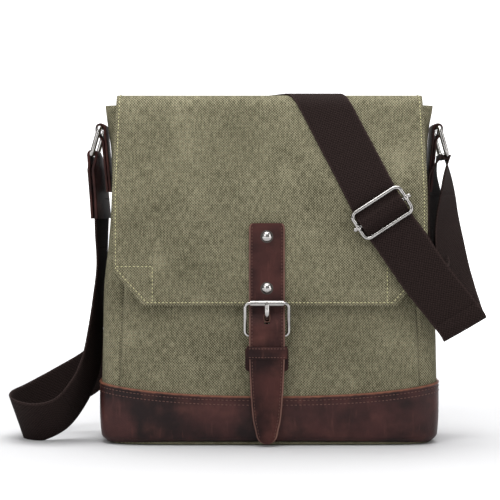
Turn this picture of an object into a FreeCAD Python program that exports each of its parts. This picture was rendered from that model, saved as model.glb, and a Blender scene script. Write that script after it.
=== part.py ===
import FreeCAD, Part

import math
import os

import Sketcher
from FreeCAD import Placement, Rotation, Vector

# Canvas messenger bag with a leather base, a strap-and-buckle flap and a webbing shoulder strap.
# Millimetres. The origin is the middle of the base on the floor, +Z is up and the flap faces -Y.

document = FreeCAD.newDocument("messenger_bag")
sheet = document.addObject("Spreadsheet::Sheet", "dimensions")

DIMENSIONS = {
    # body: half width, half depth and corner radius of six level sections
    "section1_level": 3.2, "section1_wide": 128.5, "section1_deep": 40, "section1_round": 20,
    "section2_level": 14, "section2_wide": 131.5, "section2_deep": 43.5, "section2_round": 22,
    "section3_level": 62, "section3_wide": 132, "section3_deep": 45, "section3_round": 24,
    "section4_level": 122, "section4_wide": 131, "section4_deep": 44.5, "section4_round": 24,
    "section5_level": 195, "section5_wide": 124.5, "section5_deep": 37, "section5_round": 20,
    "section6_level": 262, "section6_wide": 129, "section6_deep": 27, "section6_round": 12,
    "canvas_wall": 1.8, "lining_gap": 0.4, "lining_wall": 0.8, "lining_floor_level": 6,
    "gusset_line": 116, "hem_height": 12, "seam_half_wide": 140,
    "seam_centre_level": 38.5, "seam_side_level": 48.5,
    "board_thick": 2, "board_wide": 236, "board_deep": 66, "board_round": 10, "board_level": 3.4,
    "pocket_wide": 150, "pocket_low": 118, "pocket_high": 218, "pocket_gap": 0.6,
    "pocket_wall": 0.8, "bottom_margin": 0.4,
    # flap
    "flap_wide": 243, "flap_low": 109, "flap_front": 46.5, "flap_bend_level": 195,
    "flap_crest_front": 27, "flap_crest_level": 270, "flap_rear": 28.5, "flap_end_level": 263.5,
    "flap_rear_round": 6, "flap_crest_round": 12, "flap_bend_round": 90,
    "patch_thick": 0.7, "flap_lining_thick": 0.7, "flap_canvas_thick": 1.5,
    "flap_corner_wide": 24, "flap_corner_high": 27,
    "corner_patch_wide": 30, "corner_patch_high": 29,
    "hinge_strip_low": 236, "hinge_strip_high": 261,
    # closing strap and roller buckle
    "strap_centre": -2.2, "strap_wide": 27, "strap_thick": 2.4, "strap_top": 173,
    "strap_leave_level": 105, "strap_hump_level": 93, "strap_hump_front": 54.9,
    "strap_tail_level": 66, "strap_tail_front": 54.2, "strap_low_level": 24,
    "strap_low_front": 49.2, "strap_tip_level": 2.4, "strap_tip_front": 47.6,
    "rivet_upper_level": 162.6, "rivet_lower_level": 122.9, "rivet_radius": 4, "rivet_dome": 2,
    "rivet_post_radius": 1.5, "washer_radius": 3.6, "washer_thick": 0.5,
    "roller_level": 111.4, "roller_front": 54.6, "roller_radius": 2.5, "roller_bore": 1.4,
    "roller_long": 25.6, "frame_wire": 1.3, "frame_wide": 33.6, "hinge_bar_level": 86.5,
    "hinge_bar_front": 51.7, "frame_corner": 3.4,
    "prong_radius": 1.1, "prong_eye_outer": 2.6, "prong_eye_bore": 1.4, "prong_eye_wide": 3.6,
    "prong_bend_level": 93.5, "prong_bend_front": 52.3, "prong_rise_level": 103,
    "prong_rise_front": 58.5, "prong_tip_level": 112.2, "prong_tip_front": 58.9,
    "prong_hole_radius": 2.0, "prong_hole_level": 98.8, "prong_hole_long": 4.2,
    "chape_thick": 1.4, "chape_low": 58.4, "chape_slot": 5.2, "chape_clearance": 0.15,
    "keeper_low": 68.9, "keeper_high": 78.2, "keeper_thick": 1.5, "keeper_wide": 32,
    "keeper_front": 59.1,
    "patch_wide": 33.5, "patch_low": 58.4, "patch_high": 77, "patch_leather": 1.6,
    "patch_gap": 0.4,
    "snap_radius": 4.5, "snap_level": 63.4, "snap_thick": 0.9,
    # rings, tabs and the leather end of the shoulder strap
    "ring_wire": 1.9, "ring_wide": 46, "ring_high": 22, "ring_corner": 3.5,
    "ring_level": 247.5, "ring_out": 133.4, "ring_tilt": 16,
    "tab_wide": 30, "tab_thick": 3.4, "tab_low": 196, "tab_low_out": 126.2, "tab_top_out": 131,
    "tab_loop_outer": 4.9, "tab_loop_bore": 2.2,
    "end_wide": 39, "end_thick": 6.2, "end_low": 175, "end_loop_outer": 4.7, "end_loop_bore": 2.2,
    # webbing and its slider
    "web_wide": 38, "web_thick": 1.5, "web_clearance": 0.3,
    "slider_out": 85.9, "slider_level": 180.9, "slider_front": 54.9, "slider_turn": 33,
    "slider_long": 43, "slider_short": 22.5, "slider_wire": 1.5, "slider_corner": 4.5,
    "slider_bar": 1.4, "bar_end_gap": 0.2,
}
for row, (name, value) in enumerate(DIMENSIONS.items(), start=1):
    sheet.set(f"A{row}", name)
    sheet.set(f"B{row}", str(value))
    sheet.setAlias(f"B{row}", name)
document.recompute()

finished = []


def size(name):
    """The value of one driving dimension, in millimetres or degrees."""
    return float(sheet.get(name))


def bind(thing, **expressions):
    """Bind properties of an object to spreadsheet expressions written with bare alias names."""
    for field, text in expressions.items():
        for name in sorted(DIMENSIONS, key=len, reverse=True):
            text = text.replace(f"<{name}>", f"dimensions.{name}")
        thing.setExpression(field.replace("_at_", "."), text)


def keep(thing, label):
    """Mark an object as a finished sub-part and give it the name of its node."""
    thing.Label = label
    finished.append(thing)
    return thing


def origin_plane(body, role):
    return next(plane for plane in body.Origin.OriginFeatures if plane.Role == role)


def sketch_on(body, role, name):
    sketch = body.newObject("Sketcher::SketchObject", name)
    sketch.AttachmentSupport = [(origin_plane(body, role), "")]
    sketch.MapMode = "FlatFace"
    return sketch


def rounded_rectangle(sketch, half_wide, half_deep, radius):
    """A rounded rectangle centred on the sketch's origin, sized by three bound constraints."""
    a, b, r = 60.0, 30.0, 8.0
    quarter = math.pi / 2
    corners = [(a - r, b - r), (r - a, b - r), (r - a, r - b), (a - r, r - b)]
    for index, (x, y) in enumerate(corners):
        circle = Part.Circle(Vector(x, y, 0), Vector(0, 0, 1), r)
        sketch.addGeometry(Part.ArcOfCircle(circle, index * quarter, (index + 1) * quarter))
    sides = [((a - r, b), (r - a, b)), ((-a, b - r), (-a, r - b)),
             ((r - a, -b), (a - r, -b)), ((a, r - b), (a, b - r))]
    for start, end in sides:
        sketch.addGeometry(Part.LineSegment(Vector(*start, 0), Vector(*end, 0)))
    for index in range(4):
        sketch.addConstraint(Sketcher.Constraint("Tangent", index, 2, 4 + index, 1))
        sketch.addConstraint(Sketcher.Constraint("Tangent", 4 + index, 2, (index + 1) % 4, 1))
    for line, direction in ((4, "Horizontal"), (6, "Horizontal"), (5, "Vertical"), (7, "Vertical")):
        sketch.addConstraint(Sketcher.Constraint(direction, line))
    for arc in (1, 2, 3):
        sketch.addConstraint(Sketcher.Constraint("Equal", 0, arc))
    sketch.addConstraint(Sketcher.Constraint("Symmetric", 0, 3, 2, 3, -1, 1))
    for name, kind, value, text in (("half_wide", "DistanceX", a, half_wide),
                                    ("half_deep", "DistanceY", b, half_deep)):
        line = 7 if kind == "DistanceX" else 4
        sketch.addConstraint(Sketcher.Constraint(kind, -1, 1, line, 1, value))
        sketch.renameConstraint(sketch.ConstraintCount - 1, name)
    sketch.addConstraint(Sketcher.Constraint("Radius", 0, r))
    sketch.renameConstraint(sketch.ConstraintCount - 1, "corner")
    bind(sketch, **{"Constraints.half_wide": half_wide, "Constraints.half_deep": half_deep,
                    "Constraints.corner": radius})


def lofted_form(name, inset):
    """The bag's outer form, shrunk all round by inset, as one loft through its level sections."""
    body = document.addObject("PartDesign::Body", name)
    sections = []
    for number in range(1, 7):
        prefix = f"section{number}"
        sketch = sketch_on(body, "XY_Plane", f"{name}_{prefix}")
        rounded_rectangle(sketch, f"<{prefix}_wide> - ({inset})", f"<{prefix}_deep> - ({inset})",
                          f"<{prefix}_round> - ({inset})")
        bind(sketch, **{"AttachmentOffset.Base.z": f"<{prefix}_level>"})
        sections.append(sketch)
    loft = body.newObject("PartDesign::AdditiveLoft", f"{name}_loft")
    loft.Profile = sections[0]
    loft.Sections = sections[1:]
    loft.Ruled = False
    return body


def box(name, wide, deep, high, x, y, z):
    """A Part::Box from its middle in x and y and its lowest z, all as expressions."""
    thing = document.addObject("Part::Box", name)
    bind(thing, Length=wide, Width=deep, Height=high)
    bind(thing, **{"Placement.Base.x": f"({x}) - ({wide}) / 2", "Placement.Base.z": z,
                   "Placement.Base.y": f"({y}) - ({deep}) / 2"})
    return thing


def cylinder(name, radius, long, axis, x, y, z):
    """A cylinder whose middle is at (x, y, z), lying along a row axis."""
    thing = document.addObject("Part::Cylinder", name)
    bind(thing, Radius=radius, Height=long)
    turn = {"x": Rotation(Vector(0, 1, 0), 90), "y": Rotation(Vector(1, 0, 0), -90),
            "z": Rotation()}[axis]
    thing.Placement = Placement(Vector(), turn)
    middle = {"x": x, "y": y, "z": z}
    middle[axis] = f"({middle[axis]}) - ({long}) / 2"
    bind(thing, **{f"Placement.Base.{key}": text for key, text in middle.items()})
    return thing


def boolean(kind, name, first, second):
    thing = document.addObject(f"Part::{kind}", name)
    thing.Base = first
    thing.Tool = second
    return thing


def fused(name, *things):
    thing = document.addObject("Part::MultiFuse", name)
    thing.Shapes = list(things)
    return thing


def strip_outline(points, radii, near, far):
    """The closed outline of a bent strip: a path with rounded corners, offset to near and far."""
    def side(offset):
        edges = []
        start = None
        count = len(points)
        directions = []
        for first, second in zip(points, points[1:]):
            directions.append((Vector(*second, 0) - Vector(*first, 0)).normalize())
        for index in range(count):
            here = Vector(*points[index], 0)
            if index in (0, count - 1):
                heading = directions[0 if index == 0 else -1]
                place = here + Vector(-heading.y, heading.x, 0) * offset
                if start is not None:
                    edges.append(Part.LineSegment(start, place))
                start = place
                continue
            before, after = directions[index - 1], directions[index]
            turn = math.atan2(before.x * after.y - before.y * after.x, before.dot(after))
            radius = radii[index - 1]
            reach = radius * math.tan(abs(turn) / 2)
            normal_in = Vector(-before.y, before.x, 0)
            normal_out = Vector(-after.y, after.x, 0)
            centre = here - before * reach + normal_in * (radius * math.copysign(1, turn))
            enter = here - before * reach + normal_in * offset
            leave = here + after * reach + normal_out * offset
            spread = ((enter - centre) + (leave - centre)).normalize()
            middle = centre + spread * (enter - centre).Length
            edges.append(Part.LineSegment(start, enter))
            edges.append(Part.Arc(enter, middle, leave))
            start = leave
        return edges
    one, other = side(near), side(far)
    first_points = one[0].StartPoint, one[-1].EndPoint
    second_points = other[0].StartPoint, other[-1].EndPoint
    ends = [Part.LineSegment(first_points[1], second_points[1]),
            Part.LineSegment(second_points[0], first_points[0])]
    return one + ends[:1] + other + ends[1:]


def bent_strip(name, points, radii, near, far, wide, middle):
    """A strip that keeps one cross-section in the YZ plane, padded evenly to both sides."""
    body = document.addObject("PartDesign::Body", name)
    sketch = sketch_on(body, "YZ_Plane", f"{name}_outline")
    for edge in strip_outline(points, radii, near, far):
        sketch.addGeometry(edge)
    pad = body.newObject("PartDesign::Pad", f"{name}_pad")
    pad.Profile = sketch
    pad.SideType = "Symmetric"
    bind(pad, Length=wide)
    bind(body, **{"Placement.Base.x": middle})
    return body


def wire_ring(name, wide, high, corner, radius):
    """A closed rounded-rectangle wire in its own XZ plane, centred on the origin."""
    body = document.addObject("PartDesign::Body", name)
    path = sketch_on(body, "XZ_Plane", f"{name}_path")
    rounded_rectangle(path, f"({wide}) / 2", f"({high}) / 2", corner)
    section = sketch_on(body, "YZ_Plane", f"{name}_section")
    section.addGeometry(Part.Circle(Vector(0, 11, 0), Vector(0, 0, 1), 1.5))
    section.addConstraint(Sketcher.Constraint("Radius", 0, 1.5))
    section.renameConstraint(0, "wire")
    section.addConstraint(Sketcher.Constraint("PointOnObject", 0, 3, -2))
    section.addConstraint(Sketcher.Constraint("DistanceY", -1, 1, 0, 3, 11))
    section.renameConstraint(2, "reach")
    bind(section, **{"Constraints.wire": radius, "Constraints.reach": f"({high}) / 2"})
    document.recompute()
    pipe = body.newObject("PartDesign::AdditivePipe", f"{name}_pipe")
    pipe.Profile = section
    pipe.Spine = path
    return body


def ribbon(label, stations, thick):
    """Flat webbing through pairs of edge points, lofted as straight spans between them."""
    wires = []
    middles = [(Vector(*a) + Vector(*b)) * 0.5 for a, b in stations]
    for index, (a, b) in enumerate(stations):
        before, after = middles[max(index - 1, 0)], middles[min(index + 1, len(middles) - 1)]
        across = (Vector(*b) - Vector(*a)).normalize()
        out = (after - before).cross(across).normalize() * (thick / 2)
        across = across * (size("web_wide") / 2)
        centre = middles[index]
        corners = [centre - across - out, centre + across - out,
                   centre + across + out, centre - across + out]
        wires.append(Part.makePolygon(corners + corners[:1]))
    thing = document.addObject("Part::Feature", label)
    thing.Shape = Part.makeLoft(wires, True, True)
    return keep(thing, label)


# Body: one lofted form, hollowed, then cut into the panels that are sewn together.
outer_form = lofted_form("outer_form", "0")
wall_form = lofted_form("wall_form", "<canvas_wall>")
shell = boolean("Cut", "shell", outer_form, wall_form)

document.recompute()
seam_body = document.addObject("PartDesign::Body", "seam_tool")
seam_sketch = sketch_on(seam_body, "XZ_Plane", "seam_outline")
half = size("seam_half_wide")
low_seam = size("seam_centre_level")
high_seam = size("seam_side_level")
seam_arc = Part.Arc(Vector(-half, high_seam, 0), Vector(0, low_seam, 0), Vector(half, high_seam, 0))
seam_sketch.addGeometry(seam_arc)
for start, end in (((half, high_seam), (half, -1)), ((half, -1), (-half, -1)),
                   ((-half, -1), (-half, high_seam))):
    seam_sketch.addGeometry(Part.LineSegment(Vector(*start, 0), Vector(*end, 0)))
seam_pad = seam_body.newObject("PartDesign::Pad", "seam_pad")
seam_pad.Profile = seam_sketch
seam_pad.SideType = "Symmetric"
seam_pad.Length = 140

keep(boolean("Common", "leather_band", shell, seam_body), "leather_base_band")
canvas = boolean("Cut", "canvas", shell, seam_body)
hem_box = box("hem_box", "300", "120", "<hem_height> + 2", "0", "0", "<section6_level> - <hem_height>")
keep(boolean("Common", "hem", canvas, hem_box), "top_hem")
walls = boolean("Cut", "walls", canvas, hem_box)
front_box = box("front_box", "2 * <gusset_line>", "80", "300", "0", "-40", "0")
back_box = box("back_box", "2 * <gusset_line>", "80", "300", "0", "40", "0")
left_box = box("left_box", "60", "160", "300", "-<gusset_line> - 30", "0", "0")
right_box = box("right_box", "60", "160", "300", "<gusset_line> + 30", "0", "0")
for label, tool in (("front_panel", front_box), ("back_panel", back_box),
                    ("gusset_left", left_box), ("gusset_right", right_box)):
    keep(boolean("Common", label, walls, tool), label)

bottom = document.addObject("PartDesign::Body", "bottom")
bottom_sketch = sketch_on(bottom, "XY_Plane", "bottom_outline")
rounded_rectangle(bottom_sketch, "<section1_wide> - <bottom_margin>",
                  "<section1_deep> - <bottom_margin>", "<section1_round> - <bottom_margin>")
bottom_pad = bottom.newObject("PartDesign::Pad", "bottom_pad")
bottom_pad.Profile = bottom_sketch
bind(bottom_pad, Length="<section1_level>")
keep(bottom, "bottom_panel")

board = document.addObject("PartDesign::Body", "board")
board_sketch = sketch_on(board, "XY_Plane", "board_outline")
rounded_rectangle(board_sketch, "<board_wide> / 2", "<board_deep> / 2", "<board_round>")
board_pad = board.newObject("PartDesign::Pad", "board_pad")
board_pad.Profile = board_sketch
bind(board_pad, Length="<board_thick>")
bind(board, **{"Placement.Base.z": "<board_level>"})
keep(board, "stiffener_board")

# Lining: a bag inside the bag, and a slip pocket that follows its back wall.
lining_outer = lofted_form("lining_outer", "<canvas_wall> + <lining_gap>")
lining_inner = lofted_form("lining_inner", "<canvas_wall> + <lining_gap> + <lining_wall>")
above_board = box("above_board", "300", "120", "300", "0", "0", "<lining_floor_level>")
above_floor = box("above_floor", "300", "120", "300", "0", "0", "<lining_floor_level> + <lining_wall>")
lining_block = boolean("Common", "lining_block", lining_outer, above_board)
lining_space = boolean("Common", "lining_space", lining_inner, above_floor)
keep(boolean("Cut", "lining_shell", lining_block, lining_space), "lining")
pocket_inset = "<canvas_wall> + <lining_gap> + <lining_wall> + <pocket_gap>"
pocket_outer = lofted_form("pocket_outer", pocket_inset)
pocket_inner = lofted_form("pocket_inner", f"{pocket_inset} + <pocket_wall>")
pocket_shell = boolean("Cut", "pocket_shell", pocket_outer, pocket_inner)
pocket_box = box("pocket_box", "<pocket_wide>", "60", "<pocket_high> - <pocket_low>",
                 "0", "31", "<pocket_low>")
keep(boolean("Common", "pocket", pocket_shell, pocket_box), "inner_pocket")

# Flap: canvas outside, lining inside, and a patch behind each lower corner.
flap_path = [(size("flap_rear"), size("flap_end_level")),
             (size("flap_rear"), size("flap_crest_level")),
             (-size("flap_crest_front"), size("flap_crest_level")),
             (-size("flap_front"), size("flap_bend_level")),
             (-size("flap_front"), size("flap_low") - 1)]
flap_radii = [size("flap_rear_round"), size("flap_crest_round"), size("flap_bend_round")]
patch_far = -size("patch_thick")
lining_far = patch_far - size("flap_lining_thick")
canvas_far = lining_far - size("flap_canvas_thick")

outline_body = document.addObject("PartDesign::Body", "flap_outline")
outline_sketch = sketch_on(outline_body, "XZ_Plane", "flap_outline_sketch")
side_x, low_z = size("flap_wide") / 2, size("flap_low")
cut_x, cut_z = side_x - size("flap_corner_wide"), low_z + size("flap_corner_high")
outline_points = [(-side_x, 300), (side_x, 300), (side_x, cut_z), (cut_x, low_z),
                  (-cut_x, low_z), (-side_x, cut_z), (-side_x, 300)]
for start, end in zip(outline_points, outline_points[1:]):
    outline_sketch.addGeometry(Part.LineSegment(Vector(*start, 0), Vector(*end, 0)))
outline_pad = outline_body.newObject("PartDesign::Pad", "flap_outline_pad")
outline_pad.Profile = outline_sketch
outline_pad.SideType = "Symmetric"
outline_pad.Length = 140

canvas_sheet = bent_strip("flap_canvas_sheet", flap_path, flap_radii, lining_far, canvas_far,
                          "<flap_wide>", "0")
lining_sheet = bent_strip("flap_lining_sheet", flap_path, flap_radii, patch_far, lining_far,
                          "<flap_wide> - 2", "0")
patch_sheet = bent_strip("corner_patch_sheet", flap_path, flap_radii, 0, patch_far,
                         "<flap_wide> - 4", "0")
for label, thing in (("flap_canvas", canvas_sheet), ("flap_lining", lining_sheet)):
    cut_sheet = boolean("Common", f"{label}_cut", thing, outline_body)
    holes = []
    for level in ("rivet_upper_level", "rivet_lower_level"):
        holes.append(cylinder(f"{label}_{level}_hole", "<rivet_post_radius>", "8", "y",
                              "<strap_centre>", "-<flap_front>", f"<{level}>"))
    hole_pair = fused(f"{label}_holes", *holes)
    keep(boolean("Cut", f"{label}_holed", cut_sheet, hole_pair), label)
patch_blank = boolean("Common", "corner_patch_blank", patch_sheet, outline_body)
patch_places = []
for side in ("-1", "1"):
    place = box(f"corner_patch_box{side.replace('-', '_')}", "<corner_patch_wide>", "30",
                "<corner_patch_high>", f"{side} * (<flap_wide> - <corner_patch_wide>) / 2",
                "-<flap_front>", "<flap_low> + 1")
    patch_places.append(place)
keep(boolean("Common", "corner_patches", patch_blank, fused("corner_boxes", *patch_places)),
     "flap_corner_patches")
hinge_path = [(size("flap_rear"), size("hinge_strip_low")), (size("flap_rear"), size("hinge_strip_high"))]
keep(bent_strip("hinge_strip", hinge_path, [], patch_far, canvas_far, "<flap_wide>", "0"),
     "flap_hinge_strip")

# Closing strap: one leather strap, riveted to the flap, behind the roller and over the hinge bar.
strap_back = -size("flap_front") + canvas_far
strap_path = [(strap_back, size("strap_top")), (strap_back, size("strap_leave_level")),
              (-size("strap_hump_front"), size("strap_hump_level")),
              (-size("strap_tail_front"), size("strap_tail_level")),
              (-size("strap_low_front"), size("strap_low_level")),
              (-size("strap_tip_front"), size("strap_tip_level"))]
strap_body = bent_strip("strap_strip", strap_path, [14, 12, 60, 60], 0, -size("strap_thick"),
                        "<strap_wide>", "<strap_centre>")
strap_holes = [
    cylinder("prong_hole_top", "<prong_hole_radius>", "20", "y", "<strap_centre>", "-55",
             "<prong_hole_level>"),
    cylinder("prong_hole_end", "<prong_hole_radius>", "20", "y", "<strap_centre>", "-55",
             "<prong_hole_level> - <prong_hole_long>"),
    box("prong_hole_slot", "2 * <prong_hole_radius>", "20", "<prong_hole_long>", "<strap_centre>",
        "-55", "<prong_hole_level> - <prong_hole_long>")]
for level in ("rivet_upper_level", "rivet_lower_level"):
    strap_holes.append(cylinder(f"strap_{level}_hole", "<rivet_post_radius>", "12", "y",
                                "<strap_centre>", "-<flap_front> - 4", f"<{level}>"))
keep(boolean("Cut", "strap_holed", strap_body, fused("strap_holes", *strap_holes)), "closing_strap")

rivets = []
washers = []
strap_face = strap_back - size("strap_thick")
for level in ("rivet_upper_level", "rivet_lower_level"):
    post_end = -size("flap_front") + patch_far - size("washer_thick")
    post = cylinder(f"{level}_post", "<rivet_post_radius>", str(post_end - strap_face), "y",
                    "<strap_centre>", str((post_end + strap_face) / 2), f"<{level}>")
    dome = document.addObject("Part::Sphere", f"{level}_dome")
    dome_radius = (size("rivet_radius") ** 2 + size("rivet_dome") ** 2) / (2 * size("rivet_dome"))
    dome.Radius = dome_radius
    dome.Angle1 = math.degrees(math.asin(1 - size("rivet_dome") / dome_radius))
    dome.Placement = Placement(Vector(), Rotation(Vector(1, 0, 0), 90))
    bind(dome, **{"Placement.Base.x": "<strap_centre>", "Placement.Base.z": f"<{level}>"})
    dome.setExpression("Placement.Base.y", f"{strap_face - size('rivet_dome') + dome_radius}")
    rivets.append(fused(f"{level}_rivet", post, dome))
    washer = cylinder(f"{level}_washer", "<washer_radius>", "<washer_thick>", "y", "<strap_centre>",
                      f"-<flap_front> + {patch_far + size('washer_thick') / 2}", f"<{level}>")
    bore = cylinder(f"{level}_washer_bore", "<rivet_post_radius>", "4", "y", "<strap_centre>",
                    "-<flap_front>", f"<{level}>")
    washers.append(boolean("Cut", f"{level}_washer_ring", washer, bore))
for label, group in (("rivets", rivets), ("rivet_washers", washers)):
    gathered = document.addObject("Part::Compound", f"{label}_group")
    gathered.Links = group
    keep(gathered, label)

# Roller buckle: wire frame, roller on its top bar, prong on its hinge bar.
frame_high = math.hypot(size("roller_level") - size("hinge_bar_level"),
                        size("roller_front") - size("hinge_bar_front"))
frame_lean = math.degrees(math.atan2(size("roller_front") - size("hinge_bar_front"),
                                     size("roller_level") - size("hinge_bar_level")))
frame_body = wire_ring("buckle_wire", "<frame_wide>", str(frame_high), "<frame_corner>", "<frame_wire>")
frame_middle = Vector(size("strap_centre"), -(size("roller_front") + size("hinge_bar_front")) / 2,
                      (size("roller_level") + size("hinge_bar_level")) / 2)
frame_body.Placement = Placement(frame_middle, Rotation(Vector(1, 0, 0), frame_lean))
keep(frame_body, "buckle_frame")
roller_solid = cylinder("roller_solid", "<roller_radius>", "<roller_long>", "x", "<strap_centre>",
                        "-<roller_front>", "<roller_level>")
roller_bore = cylinder("roller_bore_tool", "<roller_bore>", "<roller_long> + 2", "x",
                       "<strap_centre>", "-<roller_front>", "<roller_level>")
keep(boolean("Cut", "roller", roller_solid, roller_bore), "buckle_roller")

eye = cylinder("prong_eye", "<prong_eye_outer>", "<prong_eye_wide>", "x", "<strap_centre>",
               "-<hinge_bar_front>", "<hinge_bar_level>")
prong_path = [Vector(0, -size("hinge_bar_front"), size("hinge_bar_level") + 2),
              Vector(0, -size("prong_bend_front"), size("prong_bend_level")),
              Vector(0, -size("prong_rise_front"), size("prong_rise_level")),
              Vector(0, -size("prong_tip_front"), size("prong_tip_level"))]
prong_parts = [eye]
for index, (start, end) in enumerate(zip(prong_path, prong_path[1:])):
    reach = end - start
    stem = document.addObject("Part::Cylinder", f"prong_stem{index + 1}")
    bind(stem, Radius="<prong_radius>")
    stem.Height = reach.Length
    stem.Placement = Placement(start + Vector(size("strap_centre"), 0, 0),
                               Rotation(Vector(0, 0, 1), reach))
    joint = document.addObject("Part::Sphere", f"prong_knuckle{index + 1}")
    bind(joint, Radius="<prong_radius>")
    joint.Placement = Placement(end + Vector(size("strap_centre"), 0, 0), Rotation())
    prong_parts += [stem, joint]
prong_bore = cylinder("prong_bore_tool", "<prong_eye_bore>", "10", "x", "<strap_centre>",
                      "-<hinge_bar_front>", "<hinge_bar_level>")
keep(boolean("Cut", "prong", fused("prong_solid", *prong_parts), prong_bore), "buckle_prong")

chape_half = size("frame_wire") + size("chape_clearance")
bar_y = -size("hinge_bar_front")
bar_z = size("hinge_bar_level")
chape_path = [(bar_y + chape_half, size("chape_low")), (bar_y + chape_half, bar_z + chape_half),
              (bar_y - chape_half, bar_z + chape_half), (bar_y - chape_half, size("keeper_high") + 2)]
chape_body = bent_strip("chape_strip", chape_path, [chape_half - 0.01, chape_half - 0.01], 0,
                        -size("chape_thick"), "<strap_wide>", "<strap_centre>")
chape_slot = box("chape_slot_tool", "<chape_slot>", "20", "12", "<strap_centre>", "-50",
                 "<hinge_bar_level> - 5")
keep(boolean("Cut", "chape", chape_body, chape_slot), "buckle_chape")

chape_face = bar_y + chape_half + size("chape_thick")
keeper_front = -size("keeper_front")
keeper_rear = chape_face + size("keeper_thick")
keeper_solid = box("keeper_solid", "<keeper_wide>", str(keeper_rear - keeper_front),
                   "<keeper_high> - <keeper_low>", "<strap_centre>",
                   str((keeper_rear + keeper_front) / 2), "<keeper_low>")
keeper_hollow = box("keeper_hollow", "<keeper_wide> - 2 * <keeper_thick>",
                    f"{keeper_rear - keeper_front + 0.1} - 2 * <keeper_thick>", "20",
                    "<strap_centre>", str((keeper_rear + keeper_front) / 2), "<keeper_low> - 5")
keep(boolean("Cut", "keeper", keeper_solid, keeper_hollow), "strap_keeper")

# Magnetic snap under the buckle, and the leather patch that holds its lower half.
keep(box("closure_patch", "<patch_wide>", "<patch_leather>", "<patch_high> - <patch_low>",
         "<strap_centre>", "-<section3_deep> - <patch_gap> - <patch_leather> / 2", "<patch_low>"),
     "closure_patch")
socket_y = (-size("section3_deep") - size("patch_gap") - size("patch_leather")
            - size("snap_thick") / 2)
keep(cylinder("snap_socket", "<snap_radius>", "<snap_thick>", "y", "<strap_centre>", str(socket_y),
              "<snap_level>"), "snap_socket")
stud_y = chape_face + size("snap_thick") / 2
keep(cylinder("snap_stud", "<snap_radius>", "<snap_thick>", "y", "<strap_centre>", str(stud_y),
              "<snap_level>"), "snap_stud")

# Side rings, the leather tabs that hold them, and the leather end of the shoulder strap.
for side, name in ((-1, "left"), (1, "right")):
    turn = Rotation(Vector(0, 1, 0), -side * size("ring_tilt"))
    drop = turn.multVec(Vector(0, 0, -size("ring_high") / 2))
    top_bar = Vector(side * size("ring_out"), 0, size("ring_level"))
    ring = wire_ring(f"ring_{name}", "<ring_wide>", "<ring_high>", "<ring_corner>", "<ring_wire>")
    quarter = Rotation(Vector(0, 0, 1), 90)
    ring.Placement = Placement(top_bar + drop, turn.multiply(quarter))
    keep(ring, f"side_ring_{name}")
    loop = cylinder(f"tab_loop_{name}", "<tab_loop_outer>", "<tab_wide>", "y",
                    f"{side} * <ring_out>", "0", "<ring_level>")
    strip = document.addObject("Part::Box", f"tab_strip_{name}")
    bind(strip, Length="<tab_thick>", Width="<tab_wide>")
    low_point = Vector(side * size("tab_low_out"), -size("tab_wide") / 2, size("tab_low"))
    high_point = Vector(side * size("tab_top_out"), -size("tab_wide") / 2, size("ring_level"))
    strip.Height = (high_point - low_point).Length
    across = Vector(-size("tab_thick") / 2, 0, 0)
    lean = Rotation(Vector(0, 0, 1), high_point - low_point)
    strip.Placement = Placement(low_point + lean.multVec(across), lean)
    bore = cylinder(f"tab_bore_{name}", "<tab_loop_bore>", "<tab_wide> + 4", "y",
                    f"{side} * <ring_out>", "0", "<ring_level>")
    keep(boolean("Cut", f"tab_{name}", fused(f"tab_solid_{name}", loop, strip), bore),
         f"side_tab_{name}")

left_bar = Vector(-size("ring_out"), 0, size("ring_level")) + Rotation(
    Vector(0, 1, 0), size("ring_tilt")).multVec(Vector(0, 0, -size("ring_high")))
end_loop = cylinder("end_loop", "<end_loop_outer>", "<end_wide>", "y", str(left_bar.x), "0",
                    str(left_bar.z))
end_slab = box("end_slab", "<end_thick>", "<end_wide>", f"{left_bar.z} - <end_low>",
               str(left_bar.x), "0", "<end_low>")
end_bore = cylinder("end_bore", "<end_loop_bore>", "60", "y", str(left_bar.x), "0", str(left_bar.z))
keep(boolean("Cut", "strap_end", fused("strap_end_solid", end_loop, end_slab), end_bore),
     "strap_end_leather")

# Slider: wire frame, centre bar, and the webbing looped over the bar.
slider_place = Placement(Vector(size("slider_out"), -size("slider_front"), size("slider_level")),
                         Rotation(Vector(0, 1, 0), -size("slider_turn")))
slider_wire = wire_ring("slider_wire", "<slider_long>", "<slider_short>", "<slider_corner>",
                        "<slider_wire>")
slider_wire.Placement = slider_place
keep(slider_wire, "slider_frame")
bar_long = size("slider_long") - 2 * size("slider_wire") - size("bar_end_gap")
bar_rod = document.addObject("Part::Cylinder", "bar_rod")
bind(bar_rod, Radius="<slider_bar>")
bar_rod.Height = bar_long
bar_along = slider_place.Rotation.multVec(Vector(1, 0, 0))
bar_rod.Placement = Placement(slider_place.multVec(Vector(-bar_long / 2, 0, 0)),
                              Rotation(Vector(0, 0, 1), bar_along))
keep(bar_rod, "slider_bar")

hump_path = [(-9.0, 1.4), (-5.4, 1.4), (-2.2, -1.9), (2.2, -1.9), (5.4, 1.4), (9.0, 1.4)]
hump = document.addObject("PartDesign::Body", "slider_hump")
hump_sketch = sketch_on(hump, "YZ_Plane", "slider_hump_outline")
hump_points = [(y, z) for z, y in hump_path]
for edge in strip_outline(hump_points, [2.5, 2.0, 2.0, 2.5], 0, size("web_thick")):
    hump_sketch.addGeometry(edge)
hump_pad = hump.newObject("PartDesign::Pad", "slider_hump_pad")
hump_pad.Profile = hump_sketch
hump_pad.SideType = "Symmetric"
bind(hump_pad, Length="<web_wide>")
hump.Placement = slider_place
keep(hump, "slider_webbing_loop")

# Shoulder strap webbing, each run given by pairs of points on its two edges.
web_thick = size("web_thick")


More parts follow.
